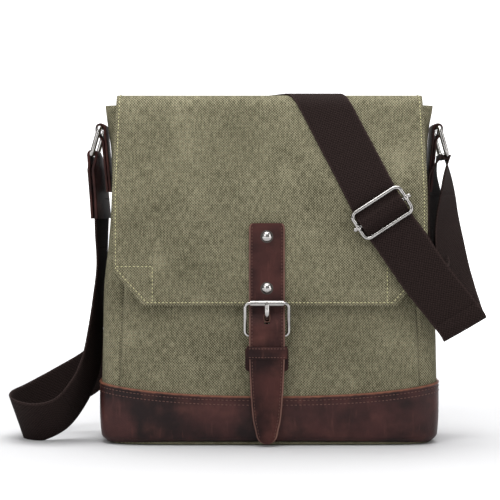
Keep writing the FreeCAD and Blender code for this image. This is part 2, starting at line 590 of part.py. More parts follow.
def on_flap(across, level, lift=1.1):
    """A point on the webbing's middle line where it lies on the flap's sloping or upright front."""
    bend, crest = size("flap_bend_level"), size("flap_crest_level")
    slope = (size("flap_front") - size("flap_crest_front")) / (crest - bend)
    base = size("flap_crest_front") + (crest - level) * slope
    return (across, max(-base + canvas_far * 1.04, -size("flap_front") + canvas_far) - lift, level)


ribbon("webbing_front_upper", [
    ((16.5, -17.0, 274.2), (56.5, -17.0, 274.2)),
    ((19.5, -26.5, 272.6), (59.0, -26.5, 272.6)),
    ((22.0, -33.2, 266.4), (61.5, -33.2, 266.4)),
    (on_flap(25.0, 255.0, 1.4), on_flap(61.0, 262.0, 1.4)),
    (on_flap(31.0, 243.0), on_flap(64.0, 258.5)),
    (on_flap(40.0, 220.0), on_flap(71.5, 240.5)),
    (on_flap(50.5, 201.5), on_flap(82.4, 222.2, 1.4)),
    ((55.5, -50.6, 191.8), (87.4, -50.6, 212.5)),
    ((92.0, -50.6, 136.2), (123.9, -50.6, 156.9))], web_thick)
ribbon("webbing_front_lower", [
    ((75.6, -52.5, 161.5), (107.5, -52.5, 182.2)),
    ((103.5, -52.5, 121.5), (135.4, -52.5, 142.2)),
    ((126.0, -52.5, 90.6), (159.5, -52.5, 110.0)),
    ((133.4, -51.5, 81.8), (167.4, -51.5, 101.4))], web_thick)
ribbon("webbing_crest", [
    ((16.0, -16.6, 274.2), (56.0, -16.6, 274.2)),
    ((-1.0, 15.0, 274.4), (39.0, 15.0, 274.4)),
    ((-8.0, 30.0, 273.0), (32.0, 30.0, 273.0)),
    ((-16.0, 34.5, 262.0), (17.0, 35.5, 268.0)),
    ((-29.0, 35.0, 247.0), (4.0, 35.0, 254.0))], web_thick)
ribbon("webbing_back_run", [
    ((-31.0, 35.5, 243.5), (1.5, 35.5, 251.0)),
    ((-49.0, 41.0, 219.0), (-18.0, 42.0, 197.0)),
    ((-84.0, 47.6, 171.0), (-55.0, 47.6, 146.5)),
    ((-113.0, 47.8, 129.0), (-88.0, 47.8, 100.5)),
    ((-131.0, 49.0, 92.5), (-113.0, 48.4, 59.0)),
    ((-150.0, 49.0, 68.0), (-142.0, 48.0, 31.5)),
    ((-176.0, 41.0, 52.0), (-173.0, 34.0, 14.8))], web_thick)
ribbon("webbing_floor_loop", [
    ((-177.5, 40.4, 51.2), (-174.5, 33.0, 14.0)),
    ((-200.0, 25.0, 40.0), (-192.0, 21.0, 3.4)),
    ((-209.5, 4.0, 36.0), (-199.5, 5.0, 1.0)),
    ((-204.0, -20.0, 32.0), (-193.5, -9.0, 1.0)),
    ((-187.0, -33.0, 30.0), (-181.0, -15.0, 1.0)),
    ((-170.0, -34.0, 34.0), (-163.0, -8.0, 8.0)),
    ((-156.0, -29.0, 48.0), (-147.0, 2.0, 28.0)),
    ((-147.0, -22.0, 68.0), (-137.5, 12.0, 54.0))], web_thick)
ribbon("webbing_left_drop", [
    ((-146.6, -21.6, 69.6), (-137.2, 12.6, 56.0)),
    ((-142.5, -18.6, 90.0), (-135.8, 17.6, 82.0)),
    ((-138.6, -18.6, 125.0), (-134.6, 19.0, 122.0)),
    ((-138.4, -18.8, 150.0), (-136.6, 19.0, 150.0)),
    ((-139.5, -19.0, 174.6), (-139.5, 19.0, 174.6))], web_thick)

right_bar = Vector(-left_bar.x, 0, left_bar.z)
wrap_outer = cylinder("wrap_outer", "<ring_wire> + <web_clearance> + <web_thick>", "<web_wide>", "y",
                      str(right_bar.x), "0", str(right_bar.z))
wrap_inner = cylinder("wrap_inner", "<ring_wire> + <web_clearance>", "60", "y", str(right_bar.x),
                      "0", str(right_bar.z))
wrap_ring = boolean("Cut", "wrap_ring", wrap_outer, wrap_inner)
wrap_box = box("wrap_box", "20", "60", "10", str(right_bar.x), "0", str(right_bar.z))
keep(boolean("Common", "wrap", wrap_ring, wrap_box), "webbing_ring_wrap")
leg = size("ring_wire") + size("web_clearance") + web_thick / 2
ribbon("webbing_right_outer", [
    ((right_bar.x + leg, -19.0, right_bar.z - 0.3), (right_bar.x + leg, 19.0, right_bar.z - 0.3)),
    ((141.5, -19.0, 212.0), (147.0, 18.5, 212.0)),
    ((139.5, -18.5, 190.0), (151.0, 17.5, 190.0)),
    ((136.5, -28.0, 158.0), (157.0, 3.0, 160.0)),
    ((135.5, -39.0, 124.0), (163.5, -18.0, 130.0)),
    ((133.6, -47.5, 90.0), (168.0, -43.5, 106.0)),
    ((133.4, -49.2, 82.2), (167.4, -48.6, 101.6))], web_thick)
ribbon("webbing_right_inner", [
    ((right_bar.x - leg, -19.0, right_bar.z - 0.3), (right_bar.x - leg, 19.0, right_bar.z - 0.3)),
    ((133.2, -19.0, 205.0), (134.8, 19.0, 205.0)),
    ((131.4, -19.0, 184.0), (137.0, 18.5, 184.0)),
    ((130.4, -25.0, 160.0), (142.0, 10.0, 165.0)),
    ((126.6, -46.4, 130.0), (143.5, -17.5, 146.0))], web_thick)

document.recompute()
problems = []
for thing in document.Objects:
    if "Invalid" in thing.State or "Error" in thing.State:
        problems.append(f"{thing.Name}: {thing.State}")
for thing in finished:
    if thing.Shape.isNull() or not thing.Shape.isValid():
        problems.append(f"{thing.Label}: shape is null or not valid")
    elif not thing.Shape.Solids:
        problems.append(f"{thing.Label}: no solid")
if problems:
    raise RuntimeError("\n".join(problems))

os.makedirs("parts", exist_ok=True)
for thing in finished:
    thing.Shape.exportStep(f"parts/{thing.Label}.step")
    print(f"{thing.Label:24s} solids {len(thing.Shape.Solids)}  volume {thing.Shape.Volume:10.1f}")
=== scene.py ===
import bisect
import math

import bmesh
import bpy
from mathutils import Matrix, Vector, noise


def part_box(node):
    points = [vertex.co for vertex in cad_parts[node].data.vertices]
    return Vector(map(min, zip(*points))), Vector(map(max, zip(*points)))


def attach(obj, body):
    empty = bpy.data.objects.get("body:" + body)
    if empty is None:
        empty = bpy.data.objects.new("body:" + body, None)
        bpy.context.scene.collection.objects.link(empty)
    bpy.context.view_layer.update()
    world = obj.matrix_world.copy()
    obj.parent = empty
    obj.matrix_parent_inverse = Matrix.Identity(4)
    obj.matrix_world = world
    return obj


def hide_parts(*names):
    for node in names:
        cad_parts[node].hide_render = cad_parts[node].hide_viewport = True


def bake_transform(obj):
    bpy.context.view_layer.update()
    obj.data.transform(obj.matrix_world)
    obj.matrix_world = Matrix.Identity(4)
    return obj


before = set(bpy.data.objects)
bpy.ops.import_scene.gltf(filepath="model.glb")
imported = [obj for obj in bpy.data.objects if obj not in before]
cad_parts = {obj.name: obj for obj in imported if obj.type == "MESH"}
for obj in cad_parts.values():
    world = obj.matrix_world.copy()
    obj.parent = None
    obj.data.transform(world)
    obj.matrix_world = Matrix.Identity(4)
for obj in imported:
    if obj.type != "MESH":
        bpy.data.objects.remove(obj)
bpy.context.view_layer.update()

# Camera, soft studio light and a pale sweep. The bag is looked at from straight ahead, a little
# above its middle, with a long lens. The sweep glows away from the bag, so that it stays white there.
camera = bpy.data.objects.new("camera", bpy.data.cameras.new("camera"))
bpy.context.scene.collection.objects.link(camera)
bpy.context.scene.camera = camera
camera.location = (-0.0152, -1.25, 0.190)
camera.rotation_euler = (math.radians(90 - 1.8), 0, 0)
camera.data.lens = 112.4
camera.data.sensor_width = 36
camera.data.clip_start = 0.02
bpy.context.scene.view_settings.view_transform = "Standard"

world = bpy.data.worlds.new("studio")
world.use_nodes = True
sky = world.node_tree
sky_place = sky.nodes.new("ShaderNodeTexCoord")
sky_split = sky.nodes.new("ShaderNodeSeparateXYZ")
sky.links.new(sky_place.outputs["Generated"], sky_split.inputs[0])
sky_rise = sky.nodes.new("ShaderNodeMapRange")
sky_rise.inputs["From Min"].default_value = -0.1
sky_rise.inputs["From Max"].default_value = 0.8
sky_rise.inputs["To Min"].default_value = 0.13
sky_rise.inputs["To Max"].default_value = 0.62
sky.links.new(sky_split.outputs[2], sky_rise.inputs["Value"])
seen = sky.nodes.new("ShaderNodeLightPath")
brighter = sky.nodes.new("ShaderNodeMath")
brighter.operation = "MAXIMUM"
sky.links.new(sky_rise.outputs["Result"], brighter.inputs[0])
sky.links.new(seen.outputs["Is Camera Ray"], brighter.inputs[1])
sky.nodes["Background"].inputs["Color"].default_value = (1, 1, 1, 1)
sky.links.new(brighter.outputs[0], sky.nodes["Background"].inputs["Strength"])
bpy.context.scene.world = world


def soft_box(name, place, target, size, power):
    """A rectangular soft light at a place, turned to its target."""
    lamp = bpy.data.lights.new(name, "AREA")
    lamp.shape = "RECTANGLE"
    lamp.size, lamp.size_y = size
    lamp.energy = power
    holder = bpy.data.objects.new(name, lamp)
    holder.location = place
    holder.rotation_euler = (Vector(target) - Vector(place)).to_track_quat("-Z", "Y").to_euler()
    bpy.context.scene.collection.objects.link(holder)


soft_box("overhead_softbox", (0, 0.22, 1.5), (0, 0, 0.12), (1.6, 1.1), 28)
soft_box("left_softbox", (-1.1, -1.5, 0.9), (0, 0, 0.12), (1.0, 1.2), 8)
soft_box("high_softbox", (-0.15, -0.75, 1.45), (0, 0, 0.12), (0.9, 0.35), 9)
soft_box("right_softbox", (1.5, -1.0, 0.6), (0, 0, 0.12), (0.5, 1.2), 7)

WALL_START, WALL_BEND = 1.6, 1.2
FLOOR_REACH, FLOOR_SINK = 3, 0.0002
sweep = bmesh.new()
bmesh.ops.create_grid(sweep, x_segments=2, y_segments=60, size=FLOOR_REACH)
for corner in sweep.verts:
    past = corner.co.y - WALL_START
    if past > 0:
        turn = min(past / WALL_BEND, math.pi / 2)
        rest = max(0, past - WALL_BEND * math.pi / 2)
        corner.co.y = WALL_START + WALL_BEND * math.sin(turn)
        corner.co.z = WALL_BEND * (1 - math.cos(turn)) + rest
    corner.co.z -= FLOOR_SINK
sweep_mesh = bpy.data.meshes.new("floor")
sweep.to_mesh(sweep_mesh)
sweep_mesh.polygons.foreach_set("use_smooth", [True] * len(sweep_mesh.polygons))
floor = bpy.data.objects.new("floor", sweep_mesh)
bpy.context.scene.collection.objects.link(floor)
floor_paint = bpy.data.materials.new("floor_paint")
floor_paint.use_nodes = True
floor_nodes = floor_paint.node_tree.nodes
floor_links = floor_paint.node_tree.links
floor_shader = floor_nodes["Principled BSDF"]
floor_shader.inputs["Base Color"].default_value = (0.58, 0.58, 0.59, 1)
floor_shader.inputs["Roughness"].default_value = 0.9
floor_shader.inputs["Emission Color"].default_value = (1, 1, 1, 1)
floor_place = floor_nodes.new("ShaderNodeTexCoord")
from_middle = floor_nodes.new("ShaderNodeVectorMath")
from_middle.operation = "LENGTH"
floor_links.new(floor_place.outputs["Object"], from_middle.inputs[0])
far_glow = floor_nodes.new("ShaderNodeMapRange")
far_glow.inputs["From Min"].default_value = 0.4
far_glow.inputs["From Max"].default_value = 1.25
far_glow.inputs["To Max"].default_value = 1.1
floor_links.new(from_middle.outputs["Value"], far_glow.inputs["Value"])
floor_links.new(far_glow.outputs["Result"], floor_shader.inputs["Emission Strength"])
floor.data.materials.append(floor_paint)

# Canvas body: a front, a back and two gussets of olive cotton canvas, sewn into a form that is
# deep and square at the base and pulled flat at the mouth, where the gussets stand out as ears.
# Each level below is height, half width, half depth and squareness, in millimetres.
MM = 0.001
BODY_LEVELS = ((0, 127.5, 39.5, 6.0), (6, 131.2, 42.5, 6.0), (24, 132.4, 44.2, 6.0),
               (62, 132.0, 45.0, 5.6), (122, 130.6, 44.2, 5.0), (160, 127.2, 41.2, 4.6),
               (195, 124.6, 37.2, 4.2), (228, 125.4, 32.2, 3.8), (250, 128.0, 27.8, 3.4),
               (266, 130.4, 24.6, 3.2))


def between(table, level):
    """Values of a table of levels at one level, on a smooth curve through them."""
    levels = [row[0] for row in table]
    level = min(max(level, levels[0]), levels[-1])
    index = min(max(bisect.bisect_right(levels, level) - 1, 0), len(table) - 2)
    before, start = table[max(index - 1, 0)], table[index]
    end, after = table[index + 1], table[min(index + 2, len(table) - 1)]
    part = (level - start[0]) / (end[0] - start[0])
    values = []
    for column in range(1, len(start)):
        p0, p1, p2, p3 = before[column], start[column], end[column], after[column]
        values.append(0.5 * (2 * p1 + (p2 - p0) * part + (2 * p0 - 5 * p1 + 4 * p2 - p3) * part ** 2
                             + (3 * p1 - p0 - 3 * p2 + p3) * part ** 3))
    return values


SECTION_STEPS = 800
SECTION_SQUARE = 5.4
SECTION_WIDE, SECTION_DEEP = 131, 43.5


def corner_angle(turn):
    """Angle for a number of quarter turns from the front's middle, spaced evenly along the flats."""
    quarter = math.floor(turn)
    near = (turn - quarter) ** (SECTION_SQUARE / 2)
    far = (1 - turn + quarter) ** (SECTION_SQUARE / 2)
    return (quarter + near / (near + far) - 1) * math.pi / 2


section_lengths = [0.0]
section_last = None
for step in range(SECTION_STEPS + 1):
    angle = corner_angle(4 * step / SECTION_STEPS)
    c, s = math.cos(angle), math.sin(angle)
    spot = Vector((SECTION_WIDE * math.copysign(abs(c) ** (2 / SECTION_SQUARE), c),
                   SECTION_DEEP * math.copysign(abs(s) ** (2 / SECTION_SQUARE), s)))
    if section_last:
        section_lengths.append(section_lengths[-1] + (spot - section_last).length)
    section_last = spot
GIRTH = section_lengths[-1]


def section_angle(share):
    """Angle of a place given as a share of the girth, from the middle of the front to the right."""
    reach = (share % 1.0) * GIRTH
    index = min(bisect.bisect_right(section_lengths, reach) - 1, SECTION_STEPS - 1)
    gap = section_lengths[index + 1] - section_lengths[index]
    return corner_angle(4 * (index + (reach - section_lengths[index]) / gap) / SECTION_STEPS)


def body_point(share, level, out=0.0):
    """A point on the body at a share of its girth, out millimetres proud of it."""
    angle = section_angle(share)
    wide, deep, square = between(BODY_LEVELS, level)
    c, s = math.cos(angle), math.sin(angle)
    x = (wide + out) * math.copysign(abs(c) ** (2 / square), c)
    y = (deep + out) * math.copysign(abs(s) ** (2 / square), s)
    place = Vector((x, y, level))
    soft = 0.9 * noise.noise(place * 0.021) + 0.45 * noise.noise(place * 0.055 + Vector((7, 3, 1)))
    fade = min(1.0, max(0.0, (level - 44) / 30))
    outward = Vector((x / wide ** 2, y / deep ** 2, 0)).normalized()
    return (place + outward * (soft * fade)) * MM


def seam_level(x):
    """Height of the leather band's top edge in millimetres: low in the middle, high at the sides."""
    return 38.5 + 9.6 * (abs(x) / 132) ** 2.4


def material(name, rough, build, shine=0.5):
    """A procedural material: build adds its nodes and returns its colour, height and roughness."""
    paint = bpy.data.materials.new(name)
    paint.use_nodes = True
    tree = paint.node_tree
    shader = tree.nodes["Principled BSDF"]
    shader.inputs["Roughness"].default_value = rough
    shader.inputs["Specular IOR Level"].default_value = shine
    colour, height, depth, roughness = build(tree)
    if colour:
        tree.links.new(colour, shader.inputs["Base Color"])
    if roughness:
        tree.links.new(roughness, shader.inputs["Roughness"])
    if height:
        bump = tree.nodes.new("ShaderNodeBump")
        bump.inputs["Distance"].default_value = depth
        bump.inputs["Strength"].default_value = 0.8
        tree.links.new(height, bump.inputs["Height"])
        tree.links.new(bump.outputs["Normal"], shader.inputs["Normal"])
    return paint


def sums(tree, operation, first, second=None):
    """One Math node; first and second are sockets or numbers."""
    node = tree.nodes.new("ShaderNodeMath")
    node.operation = operation
    for socket, value in zip(node.inputs, (first, second)):
        if isinstance(value, (int, float)):
            socket.default_value = value
        elif value is not None:
            tree.links.new(value, socket)
    return node.outputs[0]


def mixed(tree, share, first, second):
    """A colour mix by a socket's share; first and second are sockets or RGB triples."""
    node = tree.nodes.new("ShaderNodeMix")
    node.data_type = "RGBA"
    tree.links.new(share, node.inputs["Factor"])
    for socket, value in ((node.inputs["A"], first), (node.inputs["B"], second)):
        if isinstance(value, tuple):
            socket.default_value = (*value, 1)
        else:
            tree.links.new(value, socket)
    return node.outputs["Result"]


def flecks(tree, where, scale, detail=3.0, stretch=None):
    """Noise at a scale in lumps per metre, as a 0 to 1 value."""
    if stretch:
        mapping = tree.nodes.new("ShaderNodeMapping")
        mapping.inputs["Scale"].default_value = stretch
        tree.links.new(where, mapping.inputs["Vector"])
        where = mapping.outputs[0]
    node = tree.nodes.new("ShaderNodeTexNoise")
    node.inputs["Scale"].default_value = scale
    node.inputs["Detail"].default_value = detail
    tree.links.new(where, node.inputs["Vector"])
    return node.outputs["Fac"]


def spread(tree, value, low, high):
    """Stretches a value so that low gives 0 and high gives 1, clamped."""
    node = tree.nodes.new("ShaderNodeMapRange")
    node.inputs["From Min"].default_value = low
    node.inputs["From Max"].default_value = high
    tree.links.new(value, node.inputs["Value"])
    return node.outputs["Result"]


def flat_place(tree):
    """The piece's own flat pattern, in metres: its UV socket and its two coordinates."""
    node = tree.nodes.new("ShaderNodeUVMap")
    node.uv_map = "flat"
    split = tree.nodes.new("ShaderNodeSeparateXYZ")
    tree.links.new(node.outputs[0], split.inputs[0])
    return node.outputs[0], split.outputs[0], split.outputs[1]


def canvas_weave(dark, light, pitch):
    """Plain-weave cotton canvas: threads over and under, slubs, and a faded, uneven dye."""
    def build(tree):
        flat, across, along = flat_place(tree)
        turns = 2 * math.pi / pitch
        wander = sums(tree, "MULTIPLY", flecks(tree, flat, 70, 3), 3.4)
        warp = sums(tree, "SINE", sums(tree, "ADD", sums(tree, "MULTIPLY", across, turns), wander))
        weft = sums(tree, "SINE", sums(tree, "ADD", sums(tree, "MULTIPLY", along, turns), wander))
        weave = sums(tree, "MULTIPLY", warp, weft)
        slub_up = flecks(tree, flat, 520, 2, (1.5, 0.3, 1))
        slub_over = flecks(tree, flat, 420, 2, (0.4, 1.6, 1))
        slubs = sums(tree, "ADD", sums(tree, "MULTIPLY", slub_up, 0.65),
                     sums(tree, "MULTIPLY", slub_over, 0.35))
        level = sums(tree, "ADD", sums(tree, "MULTIPLY", weave, 0.27),
                     sums(tree, "MULTIPLY", slubs, 0.85))
        blotch = flecks(tree, flat, 20, 5)
        scuff = sums(tree, "POWER", spread(tree, flecks(tree, flat, 38, 6, (1, 0.7, 1)), 0.5, 0.8), 2.0)
        tone = sums(tree, "ADD", level, sums(tree, "MULTIPLY", blotch, 0.30))
        tone = sums(tree, "ADD", tone, sums(tree, "MULTIPLY", scuff, 0.22))
        colour = mixed(tree, spread(tree, tone, 0.37, 0.88), dark, light)
        return colour, level, 0.0006, None
    return build


canvas = material("olive_canvas", 0.93, canvas_weave(
    (0.044, 0.041, 0.022), (0.300, 0.276, 0.182), 0.0021), 0.12)
lining_cloth = material("lining_cloth", 0.9, canvas_weave(
    (0.085, 0.072, 0.05), (0.14, 0.12, 0.085), 0.0007), 0.15)


def make_piece(work, name, paint, thick=0.0, side=-1, bevel=0.0):
    """Turns a bmesh into a finished object at the origin, with optional thickness and edge rounding."""
    mesh = bpy.data.meshes.new(name)
    work.to_mesh(mesh)
    work.free()
    mesh.polygons.foreach_set("use_smooth", [True] * len(mesh.polygons))
    piece = bpy.data.objects.new(name, mesh)
    bpy.context.scene.collection.objects.link(piece)
    mesh.materials.append(paint)
    if thick:
        wall = piece.modifiers.new("thickness", "SOLIDIFY")
        wall.thickness = thick
        wall.offset = side
    if bevel:
        edge = piece.modifiers.new("edge", "BEVEL")
        edge.width = bevel
        edge.segments = 2
        edge.limit_method = "ANGLE"
        edge.angle_limit = math.radians(50)
    return piece


def laid_grid(across, along, place):
    """A grid whose corners place(u, v) lays in space; it also gives each its flat place."""
    work = bmesh.new()
    bmesh.ops.create_grid(work, x_segments=across, y_segments=along, size=0.5)
    flat = work.loops.layers.uv.new("flat")
    flats = {}
    for corner in work.verts:
        where, spot = place(corner.co.x + 0.5, corner.co.y + 0.5)
        corner.co = where
        flats[corner.index] = spot
    for face in work.faces:
        for loop in face.loops:
            loop[flat].uv = flats[loop.vert.index]
    return work


CORNER = section_lengths[SECTION_STEPS // 8] / GIRTH
PANELS = {"front_panel": (-CORNER, CORNER, 96),
          "gusset_right": (CORNER, 0.5 - CORNER, 36),
          "back_panel": (0.5 - CORNER, 0.5 + CORNER, 96),
          "gusset_left": (0.5 + CORNER, 1 - CORNER, 36)}
EAR_TOP = 265.5


def panel(start, end):
    """A canvas panel between two shares of the girth, drawn in a little along its sewn edges."""
    def place(u, v):
        share = start + (end - start) * u
        x = body_point(share, 40).x / MM
        low = seam_level(x) - 4
        level = low + (EAR_TOP - low) * v
        edge = min(u, 1 - u) * (end - start) * GIRTH
        pinch = -0.6 * math.exp(-(edge / 1.8) ** 2)
        where = body_point(share, level, pinch)
        return where, (share * GIRTH * MM, level * MM)
    return place


for name, (start, end, columns) in PANELS.items():
    piece = make_piece(laid_grid(columns, 80, panel(start, end)), f"{name}_canvas", canvas, 1.6 * MM)
    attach(piece, "bag")
    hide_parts(name, "top_hem")


# Leather base: one wide band of dark pull-up leather lapped over the canvas and stitched along its
# raw top edge, which stays a bright tan, and a canvas bottom edged with a round welt.
def leather_hide(dark, mid, pale, edge=None, rub=1.0, gloss=0.30):
    """Pull-up leather: fine pores, cloudy colour and paler rubbed places; edge tints a cut edge."""
    def build(tree):
        node = tree.nodes.new("ShaderNodeTexCoord")
        where = node.outputs["Object"]
        cloud = flecks(tree, where, 34, 5)
        colour = mixed(tree, spread(tree, cloud, 0.38, 0.62), dark, mid)
        rubbed = sums(tree, "POWER", spread(tree, flecks(tree, where, 48, 7), 0.47, 0.80), 1.5)
        colour = mixed(tree, sums(tree, "MULTIPLY", rubbed, 0.8 * rub), colour, pale)
        scratch = spread(tree, flecks(tree, where, 300, 3, (1, 1, 0.15)), 0.60, 0.78)
        colour = mixed(tree, sums(tree, "MULTIPLY", scratch, 0.30), colour, pale)
        if edge:
            flat, across, along = flat_place(tree)
            start, end, tint = edge
            wobble = sums(tree, "MULTIPLY", flecks(tree, flat, 260, 4), 0.0020)
            reach = sums(tree, "ADD", along, wobble)
            colour = mixed(tree, spread(tree, reach, start, end), colour, tint)
        pores = tree.nodes.new("ShaderNodeTexVoronoi")
        pores.inputs["Scale"].default_value = 620
        tree.links.new(where, pores.inputs["Vector"])
        grain = sums(tree, "ADD", sums(tree, "MULTIPLY", pores.outputs["Distance"], 0.5),
                     flecks(tree, where, 900, 3))
        rough = sums(tree, "ADD", sums(tree, "MULTIPLY", cloud, 0.24), gloss)
        return colour, grain, 0.00018, rough
    return build


TAN_EDGE = (0.190, 0.074, 0.044)
base_leather = material("base_leather", 0.4, leather_hide(
    (0.011, 0.0043, 0.0043), (0.046, 0.0150, 0.0138), (0.118, 0.042, 0.033),
    (0.0014, 0.0028, TAN_EDGE)), 0.22)
strap_leather = material("strap_leather", 0.42, leather_hide(
    (0.015, 0.0052, 0.0050), (0.055, 0.0180, 0.0155), (0.130, 0.046, 0.035), None, 0.8, 0.50), 0.16)
# The strap's edge trims and the slot's rim are paler than its face: partly the burnished edge's own colour
# and partly a painted highlight along the rounded edge.
edge_leather_and_highlight = material("burnished_edge_and_highlight", 0.4, leather_hide(
    (0.10, 0.045, 0.035), (0.15, 0.07, 0.052), (0.22, 0.11, 0.08), None, 0.8, 0.4), 0.3)


def band_low(x):
    """Height of the band's bottom edge: on the floor at the corners, a little up in the middle."""
    return 1.0 + 2.4 * (1 - (abs(x) / 132) ** 3)


def base_band(u, v):
    """The band all round the base: tucked in at the floor, with a lip and a groove at its top."""
    share = u + 0.5
    x = body_point(share, 40).x / MM
    top = seam_level(x)
    low = band_low(x)
    level = low + (top - low) * v
    tuck = -1.0 * math.exp(-((level - low) / 2.4) ** 2)
    lip = 0.5 * math.exp(-((top - level) / 1.2) ** 2)
    groove = -0.35 * math.exp(-((top - level - 3.0) / 0.7) ** 2)
    where = body_point(share, level, 1.5 + tuck + lip + groove)
    return where, (GIRTH * u * MM, (level - top) * MM + 0.0018)


work = laid_grid(240, 36, base_band)
bmesh.ops.remove_doubles(work, verts=work.verts, dist=1e-6)
base = make_piece(work, "leather_band", base_leather, 1.8 * MM)
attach(base, "bag")
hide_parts("leather_base_band")


def tube_ring(name, paint, radius, place, count=160):
    """A closed round cord of cloth through place(share), as a bevelled curve made into a mesh."""
    curve = bpy.data.curves.new(name, "CURVE")
    curve.dimensions = "3D"
    curve.bevel_depth = radius
    curve.bevel_resolution = 3
    line = curve.splines.new("POLY")
    line.points.add(count - 1)
    for index, point in enumerate(line.points):
        point.co = (*place(index / count), 1)
    line.use_cyclic_u = True
    holder = bpy.data.objects.new(name, curve)
    bpy.context.scene.collection.objects.link(holder)
    mesh = bpy.data.meshes.new_from_object(holder)
    bpy.data.objects.remove(holder)
    work = bmesh.new()
    work.from_mesh(mesh)
    flat = work.loops.layers.uv.verify()
    for face in work.faces:
        for loop in face.loops:
            where = loop.vert.co
            loop[flat].uv = (where.x + where.y, where.z)
    piece = make_piece(work, name, paint)
    piece.data.uv_layers[0].name = "flat"
    return piece


welt = tube_ring("base_welt", canvas, 1.3 * MM,
                 lambda share: body_point(share, 0, -0.9) + Vector((0, 0, 1.5 * MM)))
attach(welt, "bag")

work = bmesh.new()
bmesh.ops.create_circle(work, cap_ends=True, segments=160, radius=1)
flat = work.loops.layers.uv.new("flat")
for index, corner in enumerate(work.verts):
    where = body_point(index / 160, 0, -1.2)
    corner.co = (where.x, where.y, 0.9 * MM)
bmesh.ops.inset_region(work, faces=work.faces, thickness=6 * MM, depth=0)
for face in work.faces:
    for loop in face.loops:
        loop[flat].uv = loop.vert.co.xy
bmesh.ops.reverse_faces(work, faces=work.faces)
sole = make_piece(work, "bottom_canvas", canvas, 2.0 * MM)
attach(sole, "bag")
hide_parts("bottom_panel")

# Lining, board and slip pocket inside the body: plain cotton cut a little smaller than the canvas,
# turned in over its top edge, with a stiff board under its floor.
LINING_LOW, LINING_IN = 7.5, 2.6
POCKET_LOW, POCKET_HIGH, POCKET_HALF = 118, 218, 0.113


def lining_wall(u, v):
    """The lining's wall, all round the inside of the canvas."""
    level = LINING_LOW + (EAR_TOP - 0.5 - LINING_LOW) * v
    return body_point(u, level, -LINING_IN), (GIRTH * u * MM, level * MM)


work = laid_grid(200, 60, lining_wall)
bmesh.ops.reverse_faces(work, faces=work.faces)
bmesh.ops.remove_doubles(work, verts=work.verts, dist=1e-6)
rim = [edge for edge in work.edges if edge.is_boundary and edge.verts[0].co.z < 0.02]
bmesh.ops.edgeloop_fill(work, edges=rim)
inside = make_piece(work, "lining_bag", lining_cloth, 0.6 * MM, 1)
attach(inside, "bag")
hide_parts("lining")


def pocket_wall(u, v):
    """A flat slip pocket on the inside of the back, gaping a little at its top."""
    share = 0.5 + POCKET_HALF * (1 - 2 * u)
    level = POCKET_LOW + (POCKET_HIGH - POCKET_LOW) * v
    puff = 1.5 * math.sin(math.pi * u) ** 0.5 * v
    return body_point(share, level, -LINING_IN - 1.0 - puff), (0.15 * u, 0.1 * v)


pocket = make_piece(laid_grid(30, 20, pocket_wall), "slip_pocket", lining_cloth, 0.8 * MM)
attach(pocket, "bag")
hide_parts("inner_pocket")


def on_material(node, paint):
    """Gives a CAD piece that stays as it is a better material."""
    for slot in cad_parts[node].material_slots:
        slot.material = paint


def fibre_board(tree):
    node = tree.nodes.new("ShaderNodeTexCoord")
    fibres = flecks(tree, node.outputs["Object"], 300, 4)
    return mixed(tree, fibres, (0.03, 0.028, 0.025), (0.08, 0.07, 0.06)), fibres, 0.0002, None


on_material("stiffener_board", material("fibre_board", 0.85, fibre_board))

# Flap: canvas over cotton lining, sewn along the top of the back, folded over the mouth and hanging
# down the front, with clipped lower corners and a turned edge stitched all round.
FLAP_WIDE, FLAP_LOW = 121.5, 109.0
STRAP_X = sum(corner.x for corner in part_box("closing_strap")) / 2 / MM
CLIP_WIDE, CLIP_HIGH = 24.0, 27.0


def rounded_path(points, radii):
    """A path with round corners in a plane: close samples of it, and the distance to each."""
    samples = []
    corners = [Vector(point) for point in points]
    last = corners[0]
    for index in range(1, len(corners) - 1):
        here = corners[index]
        before = (here - corners[index - 1]).normalized()
        after = (corners[index + 1] - here).normalized()
        turn = -before.angle_signed(after) if before.angle(after) > 1e-6 else 0.0
        reach = radii[index - 1] * math.tan(abs(turn) / 2)
        enter = here - before * reach
        steps = max(2, int((enter - last).length / 2))
        samples += [last.lerp(enter, step / steps) for step in range(steps)]
        side = Vector((-before.y, before.x)) * math.copysign(radii[index - 1], turn)
        centre = enter + side
        steps = max(3, int(radii[index - 1] * abs(turn) / 1.2))
        for step in range(steps):
            samples.append(centre + Matrix.Rotation(turn * step / steps, 2) @ (enter - centre))
        last = here + after * reach
    steps = max(2, int((corners[-1] - last).length / 2))
    samples += [last.lerp(corners[-1], step / steps) for step in range(steps + 1)]
    lengths = [0.0]
    for first, second in zip(samples, samples[1:]):
        lengths.append(lengths[-1] + (second - first).length)
    return samples, lengths


def along_path(path, distance, lift=0.0):
    """The place at a distance along a path, moved lift to its right-hand side."""
    samples, lengths = path
    distance = min(max(distance, 0.0), lengths[-1])
    index = min(max(bisect.bisect_right(lengths, distance) - 1, 0), len(samples) - 2)
    step = lengths[index + 1] - lengths[index]
    where = samples[index].lerp(samples[index + 1], (distance - lengths[index]) / step if step else 0)
    ahead = samples[min(index + 2, len(samples) - 1)] - samples[max(index - 1, 0)]
    ahead.normalize()
    return where + Vector((ahead.y, -ahead.x)) * lift


FLAP_PATH = rounded_path([(28.5, 238), (28.5, 270), (-27, 270), (-46.5, 195), (-46.5, FLAP_LOW)],
                         [7, 12, 90])
FLAP_LONG = FLAP_PATH[1][-1]


